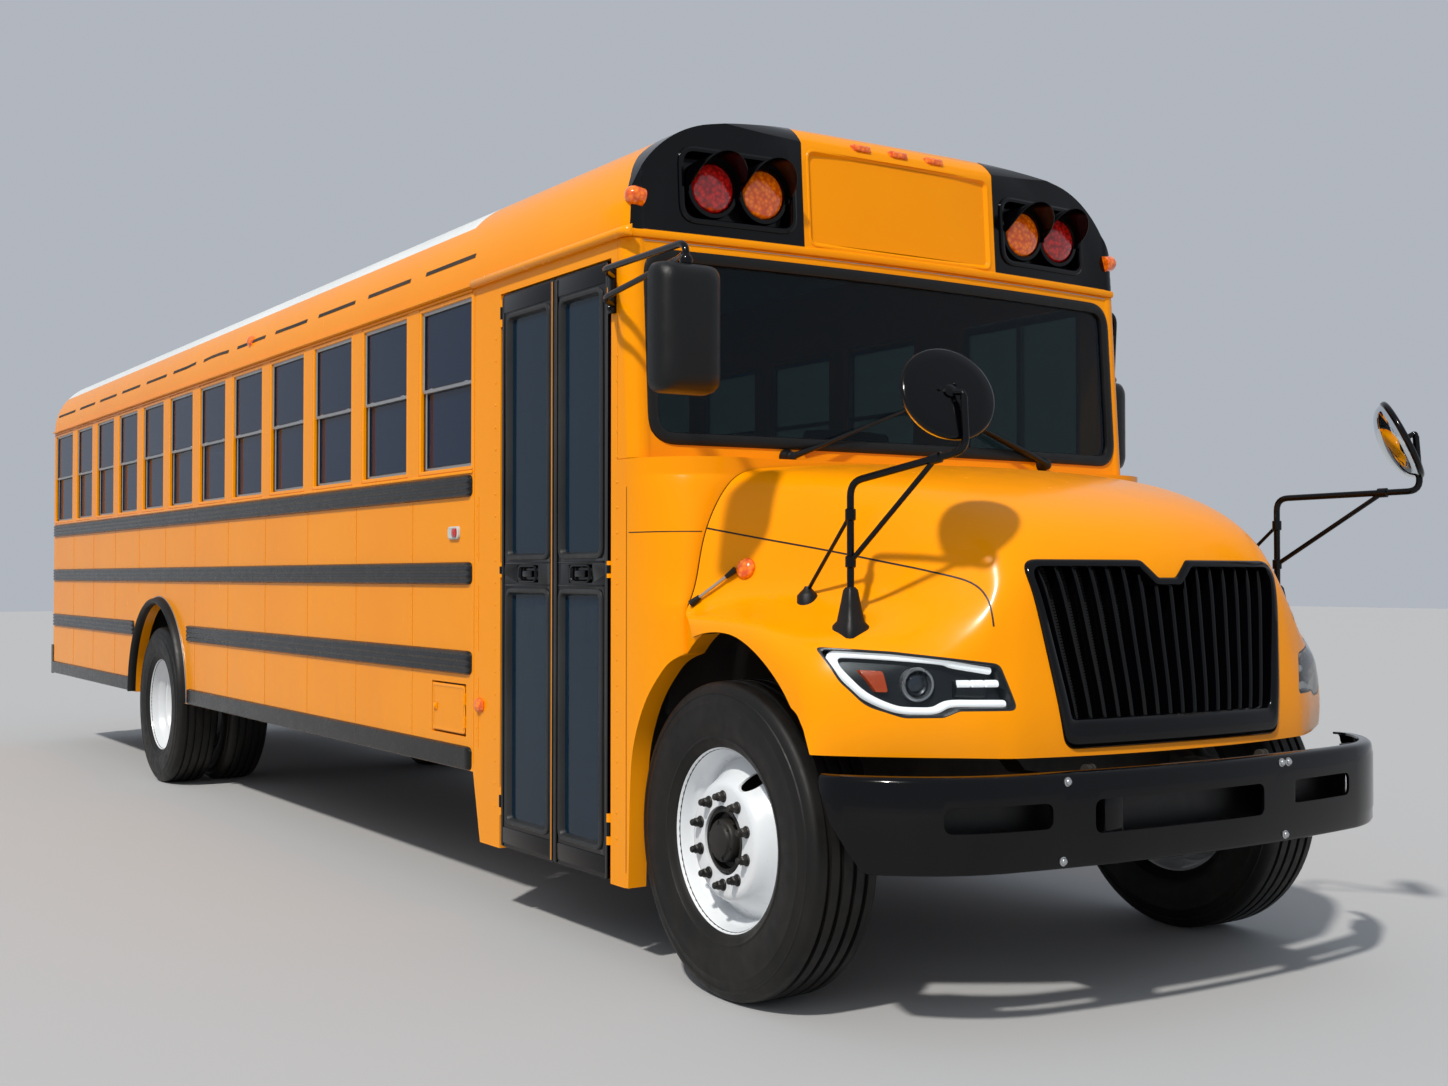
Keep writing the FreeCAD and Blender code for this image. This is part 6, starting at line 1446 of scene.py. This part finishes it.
new_object("cross_view_boots", boots, gasket, "hood", 45)
new_object("cross_view_backs", dish_backs, lamp_panel_black, "hood", 45)
new_object("cross_view_glass", dish_faces, mirror_glass, "hood", 60)

# ---- Cowl ------------------------------------------------------------------------------------
# Moulded shell between the hood and the body: it meets the hood along a fine gap, turns a wide
# corner back to the side, and carries the rear half of the front wheel arch.
frame_black = finish("frame_black", (24, 24, 25), 0.6, drift=0.15, grain=420, depth=0.0006, film=0.5,
                     second=(52, 46, 40))

# Metres behind the front axle, or from the centre line, or above the ground.
COWL_FRONT, COWL_BACK, COWL_SIDE, COWL_DECK = 0.259, 0.541, 1.2185, 1.789
CORNER_X = 0.930
HOOD_FOOT = 1.236
ARCH_LIP = smooth_path([Vector(p) for p in (
    (0.252, 1.116), (0.302, 1.084), (0.340, 1.045), (0.410, 0.955), (0.460, 0.860), (0.494, 0.760), (0.508, 0.640),
    (0.514, 0.450), (0.520, 0.286))], 4)
# Share of the flange's run from the hood's side forward.
FLANGE_STEPS = (0.0, 0.33, 0.66, 1.0)
BULKHEAD = ((-1.10, 0.60), (1.10, 0.60), (1.10, 1.62), (0.92, 1.74), (-0.92, 1.74), (-1.10, 1.62))

rear_line = max(v.co.y for v in hood_surface.verts) - 0.0005
edge_points = {(round(v.co.x, 5), round(v.co.z, 5)) for v in hood_surface.verts
               if v.co.y > rear_line and v.co.x >= -1e-6}
edge_points = sorted([p for p in edge_points if p[1] >= HOOD_FOOT], key=lambda p: -p[1])


def hood_edge_x(z):
    for (x0, z0), (x1, z1) in zip(edge_points, edge_points[1:]):
        if z0 >= z >= z1:
            return x0 + (x1 - x0) * (z0 - z) / max(1e-6, z0 - z1)
    return 0.0 if z > edge_points[0][1] else edge_points[-1][0]


def arch_station(z):
    for (s0, z0), (s1, z1) in zip(ARCH_LIP, ARCH_LIP[1:]):
        if z0 >= z >= z1:
            return s0 + (s1 - s0) * (z0 - z) / (z0 - z1)
    return COWL_FRONT


def cowl_row(z):
    """Points (x, station) of the shell at one height, from inside the hood gap round to the side."""
    run = COWL_BACK - COWL_FRONT
    inner, start = hood_edge_x(z), max(arch_station(z), COWL_FRONT)
    turn_x = max(inner, CORNER_X)
    first = math.acos(max(-1.0, min(1.0, 1 - (start - COWL_FRONT) / run))) if start > COWL_FRONT else 0.0
    edge = turn_x + (COWL_SIDE - turn_x) * math.sin(first)
    inner = min(inner, edge) if first == 0 else edge
    lip, back = (0.075, 0.004) if z < 1.12 else (0.010, 0.045)
    row = [(inner - lip, start + back), (inner, start)]
    row += [(inner + (edge - inner) * k / 8, start) for k in range(1, 9)]
    for angle in [first + (math.pi / 2 - first) * k / 14 for k in range(1, 15)]:
        row.append((turn_x + (COWL_SIDE - turn_x) * math.sin(angle), COWL_FRONT + run * (1 - math.cos(angle))))
    return row


def cowl_shell(side):
    bm = bmesh.new()
    levels = [COWL_DECK, 1.7885] + [z for x, z in edge_points] + [1.215, 1.190, 1.165, 1.140] + [z for s, z in ARCH_LIP]
    rows = [[Vector((side * x, frame_y(s * 1000), z)) for x, s in cowl_row(z)] for z in sorted(set(levels),
                                                                                               reverse=True)]
    deck = [Vector((p.x, max(p.y, frame_y(440) + 0.05 * (abs(p.x) / 1.15) ** 2), COWL_DECK)) for p in rows[0]]
    skirt(bm, [deck] + rows, closed=False)
    flange = []
    for t in FLANGE_STEPS:
        y, x = frame_y((0.079 + (COWL_FRONT - 0.079) * t) * 1000), 1.190 - (1.190 - edge_points[-1][0]) * t
        seam_z, lip_z = 1.187 + 0.050 * t, 1.184 - 0.071 * t ** 1.25
        section = ((0.0, seam_z), (0.004, (seam_z + lip_z) / 2), (0.002, lip_z), (-0.07, lip_z + 0.004))
        flange.append([Vector((side * (x + out), y, z)) for out, z in section])
    skirt(bm, flange, closed=False)
    bmesh.ops.remove_doubles(bm, verts=bm.verts, dist=0.0004)
    bmesh.ops.dissolve_degenerate(bm, edges=bm.edges, dist=0.0003)
    return bm


shells = bmesh.new()
for side in (-1, 1):
    take(shells, cowl_shell(side))
bmesh.ops.remove_doubles(shells, verts=shells.verts, dist=0.0004)
cowl_piece = new_object("cowl_shell", shells, paint, smooth=38, stands_for="cowl")
bulkhead = carve(welded("cowl"), [cutter(BULKHEAD, "y", frame_y(330), frame_y(560))], keep=True)
new_object("cowl_bulkhead", bulkhead, frame_black, smooth=30, stands_for="cowl")

# ---- Joint lines -----------------------------------------------------------------------------
# Sealed joints: one across each side of the cowl, one where it meets the body, and the seam of
# the hood's upper panel. Each is a fine line of black sealer.
JOINT_Z = 1.529
joints, hood_joints = bmesh.new(), bmesh.new()
cowl_tree = tree_of(cowl_piece.data)
for side in (-1, 1):
    inner, path = hood_edge_x(JOINT_Z), []
    for angle in [k * math.pi / 40 for k in range(1, 20)]:
        station = COWL_FRONT + (COWL_BACK - COWL_FRONT) * (1 - math.cos(angle))
        path.append((side * (inner + (COWL_SIDE - inner) * math.sin(angle)), frame_y(1000 * station), JOINT_Z))
    line_on(joints, cowl_tree, path, 0.0035, 0.0008)
    body_seam = [(side * COWL_SIDE, frame_y(534), 0.34 + 0.05 * k) for k in range(28)]
    line_on(joints, cowl_tree, body_seam, 0.003, 0.0008)
    line_on(hood_joints, nose_tree, smooth_path([spot(row[4], side) for row in HOOD_ROWS[:8]], 6), 0.0055, -0.0012)
new_object("cowl_joint_lines", joints, gasket, smooth=50)
new_object("hood_joint_lines", hood_joints, gasket, "hood", 50)

# ---- Hood latches and side repeaters ---------------------------------------------------------
# A rubber strap handle on a bright rod holds each rear corner of the hood. A domed amber lamp
# is screwed to the hood above it.
latches, rods, repeaters = bmesh.new(), bmesh.new(), bmesh.new()
for side in (-1, 1):
    foot, foot_normal = nose_tree.find_nearest(Vector((side * 1.118, frame_y(222), 1.285)))[:2]
    tip, tip_normal = nose_tree.find_nearest(Vector((side * 1.092, frame_y(95), 1.400)))[:2]
    low, high = foot - foot_normal * 0.012, tip - tip_normal * 0.016
    tube(rods, [low, high], 0.0055, 10)
    tube(latches, [low - (high - low) * 0.12, low + (high - low) * 0.12], [0.013, 0.009], 12)
    tube(latches, [high - (high - low) * 0.16, high + (high - low) * 0.10], [0.008, 0.012], 12)
    lamp, lamp_normal = nose_tree.find_nearest(Vector((side * 1.080, frame_y(52), 1.419)))[:2]
    lathe(repeaters, [(0.036, -0.004), (0.036, 0.008), (0.031, 0.016), (0.018, 0.022), (0.0, 0.024)],
          lamp, -lamp_normal, 28)
new_object("hood_latch_handles", latches, moulded, "hood", 50)
new_object("hood_latch_rods", rods, brushed, "hood", 50)
new_object("side_repeaters", repeaters, amber_dome, "hood", 50)

# ---- Seats -----------------------------------------------------------------------------------
# Bench seats of foam under sewn vinyl: crowned bases and tall padded backs with a piped seam all
# round, in one colour for every row, on legs of black steel tube.

def vinyl(name, rgb):
    """Seat vinyl: small pebbled cells with painted shade in the creases between them, and a soft gloss."""
    net = Net(name)
    cells = net.add("TexVoronoi", {"Scale": 260.0, "Vector": net.place}, feature="DISTANCE_TO_EDGE")
    pebble_relief_and_shade = net.ramp(cells.outputs["Distance"], 0.0, 0.12)
    # Painted shade: a darker copy of the colour lies in the creases between the pebbles.
    dark = tuple(c * 0.55 for c in tint(rgb)[:3]) + (1.0,)
    net.feed({"Base Color": net.mix(pebble_relief_and_shade, dark, tint(rgb)),
              "Roughness": net.ramp(net.noise(12.0, 4.0), 0.3, 0.75, 0.42, 0.62)})
    net.bump(pebble_relief_and_shade, 0.0006)
    return net.material


seat_vinyl = vinyl("seat_vinyl", (58, 60, 66))

FLOOR_Z = 1.0
SEAT_SIDE = ((0.0, 0.312), (0.0, 0.425), (0.02, 0.438), (0.405, 0.420), (0.425, 0.330))
BACK_SIDE = ((0.428, 0.335), (0.412, 0.430), (0.480, 1.030), (0.505, 1.058), (0.540, 1.058), (0.563, 1.020),
             (0.512, 0.312))
CROWN = 0.014
# Shares of a pad's width at which it has a ring of points; the piping runs round the two at SEAMS.
PAD_STEPS = (0.0, 0.006, 0.03, 0.09, 0.2, 0.35, 0.5, 0.65, 0.8, 0.91, 0.97, 0.994, 1.0)
SEAMS = (2, 10)
# Legs over the rear wheels stand on the wheel boxes.
BOX_STATION, BOX_HALF, BOX_X, BOX_TOP = 6850, 640, 0.60, 1.206


def foam(bm, corners, x0, x1):
    """Crowned pad: side outline corners (y, z) spread from x0 to x1, swollen and drawn in at its seams."""
    outline = [Vector(p) for p in rounded_outline(corners, 0.035, 4)]
    centre = Vector((sum(p.x for p in outline) / len(outline), sum(p.y for p in outline) / len(outline)))
    rings = []
    for t in PAD_STEPS:
        edge = min(t, 1 - t)
        pull = 1.0 - 0.16 * max(0.0, 1 - edge / 0.03) ** 2 if edge < 0.03 else 1.0
        swell = CROWN * (1 - (2 * t - 1) ** 4) - CROWN
        places = [centre + (p - centre) * pull + (p - centre).normalized() * swell for p in outline]
        rings.append([Vector((x0 + (x1 - x0) * t, place.x, place.y)) for place in places])
    skirt(bm, rings, ends=True)
    for k in SEAMS:
        tube(bm, rings[k] + rings[k][:1], 0.0045, 6, caps=False)


def bench(bm, legs, station, x0, x1):
    for outline in (SEAT_SIDE, BACK_SIDE):
        foam(bm, [(frame_y(station) + y, FLOOR_Z + z) for y, z in outline], x0, x1)
    for leg in (x0 + 0.07, x1 - 0.07):
        over = abs(station + 240 - BOX_STATION) < BOX_HALF and abs(leg) > BOX_X
        front, back = frame_y(station + 80), frame_y(station + 400)
        for y in (front, back):
            tube(legs, [(leg, y, BOX_TOP if over else FLOOR_Z + 0.002), (leg, y, 1.318)], 0.014, 10)
        tube(legs, [(leg, front, 1.305), (leg, back, 1.305)], 0.012, 8)


pads, pad_legs, driver_pads = bmesh.new(), bmesh.new(), bmesh.new()
for row in range(11):
    for left, right in ((-1.151, -0.199), (0.199, 1.151)):
        bench(pads, pad_legs, 2080 + 705 * row, left, right)
bench(driver_pads, pad_legs, 1130, 0.364, 0.836)
bench_pads = new_object("bench_seat_pads", pads, seat_vinyl, smooth=50)
driver_pad = new_object("driver_seat_pads", driver_pads, seat_vinyl, smooth=50)
new_object("seat_legs", pad_legs, frame_black)
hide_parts("passenger_seats")
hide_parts("driver_seat")

# ---- Body, running gear and cab fittings -----------------------------------------------------
# Pressed panels, welded frames, castings and flat glass, bolted together. They need only their
# finish and softened edges.
floor_rubber = finish("floor_rubber", (46, 47, 48), 0.75, drift=0.12, grain=220, depth=0.0008, second=(66, 64, 60))
dash_grey = finish("dash_grey", (62, 64, 66), 0.6, drift=0.08, grain=1100, depth=0.0006)
stop_red = finish("stop_red", (176, 20, 18), 0.3, coat=0.3, drift=0.06, grain=500, depth=0.0002)
# The door glass is a real dark tint; its blue tone is painted reflection of a blue sky.
door_glass = clear("door_glass", (14, 38, 56), 0.34)
red_lens = clear("red_lens", (150, 10, 8), 0.16, 0.08, 60.0, (200, 40, 30))

# Material and width of the rounding, in metres.
PLAIN = {
    "left_side_wall": (paint, 0.003), "right_side_wall": (paint, 0.003),
    "rear_wall": (paint, 0.004), "roof": (paint, 0.003),
    "windshield_surround": (paint, 0.004),
    "rear_bumper": (rail_black, 0.005),
    "rear_door_glass": (side_glass, 0),
    "entry_door_front_glass": (door_glass, 0), "entry_door_rear_glass": (door_glass, 0),
    "entry_door_front_leaf": (lamp_panel_black, 0.003), "entry_door_rear_leaf": (lamp_panel_black, 0.003),
    "entry_steps": (floor_rubber, 0.003), "floor": (floor_rubber, 0.002), "rear_door": (paint, 0.003),
    "battery_hatch": (paint, 0.002), "roof_hatch": (paint, 0.006), "stop_arm": (stop_red, 0.002),
    "front_left_knuckle": (cast, 0.004), "front_right_knuckle": (cast, 0.004), "front_axle": (cast, 0.004),
    "rear_axle": (cast, 0.004), "leaf_springs": (frame_black, 0.002), "chassis_frame": (frame_black, 0.004),
    "drive_shaft": (frame_black, 0.003), "exhaust": (cast, 0.003), "engine_block": (cast, 0.01),
    "fuel_tank": (frame_black, 0.008),
    "dashboard": (dash_grey, 0.008), "steering_wheel": (moulded, 0.002),
    "tail_lamps": (red_lens, 0.003),
}
for node, (material, rounding) in PLAIN.items():
    smooth = 0 if "side_wall" in node else 32
    obj = new_object(node + "_body", welded(node, smooth > 0), material, body_of(node), smooth, stands_for=node)
    if rounding:
        round_edges(obj, rounding)

# ---- Rear door sill --------------------------------------------------------------------------
# Under the rear door, a pressed and painted panel closes the end of the floor. A rubber strip is
# glued along its top.
sill = block(bmesh.new(), (-0.457, 5.590, 0.803), (0.457, 5.650, 1.004), 0.004)
new_object("rear_door_sill", sill, paint, smooth=32)
strip = block(bmesh.new(), (-0.452, 5.596, 1.0045), (0.452, 5.644, 1.0125), 0.002)
new_object("rear_door_sill_strip", strip, gasket, smooth=32)

# ---- View layer ------------------------------------------------------------------------------
# The view layer is brought up to date at the end.
bpy.context.view_layer.update()
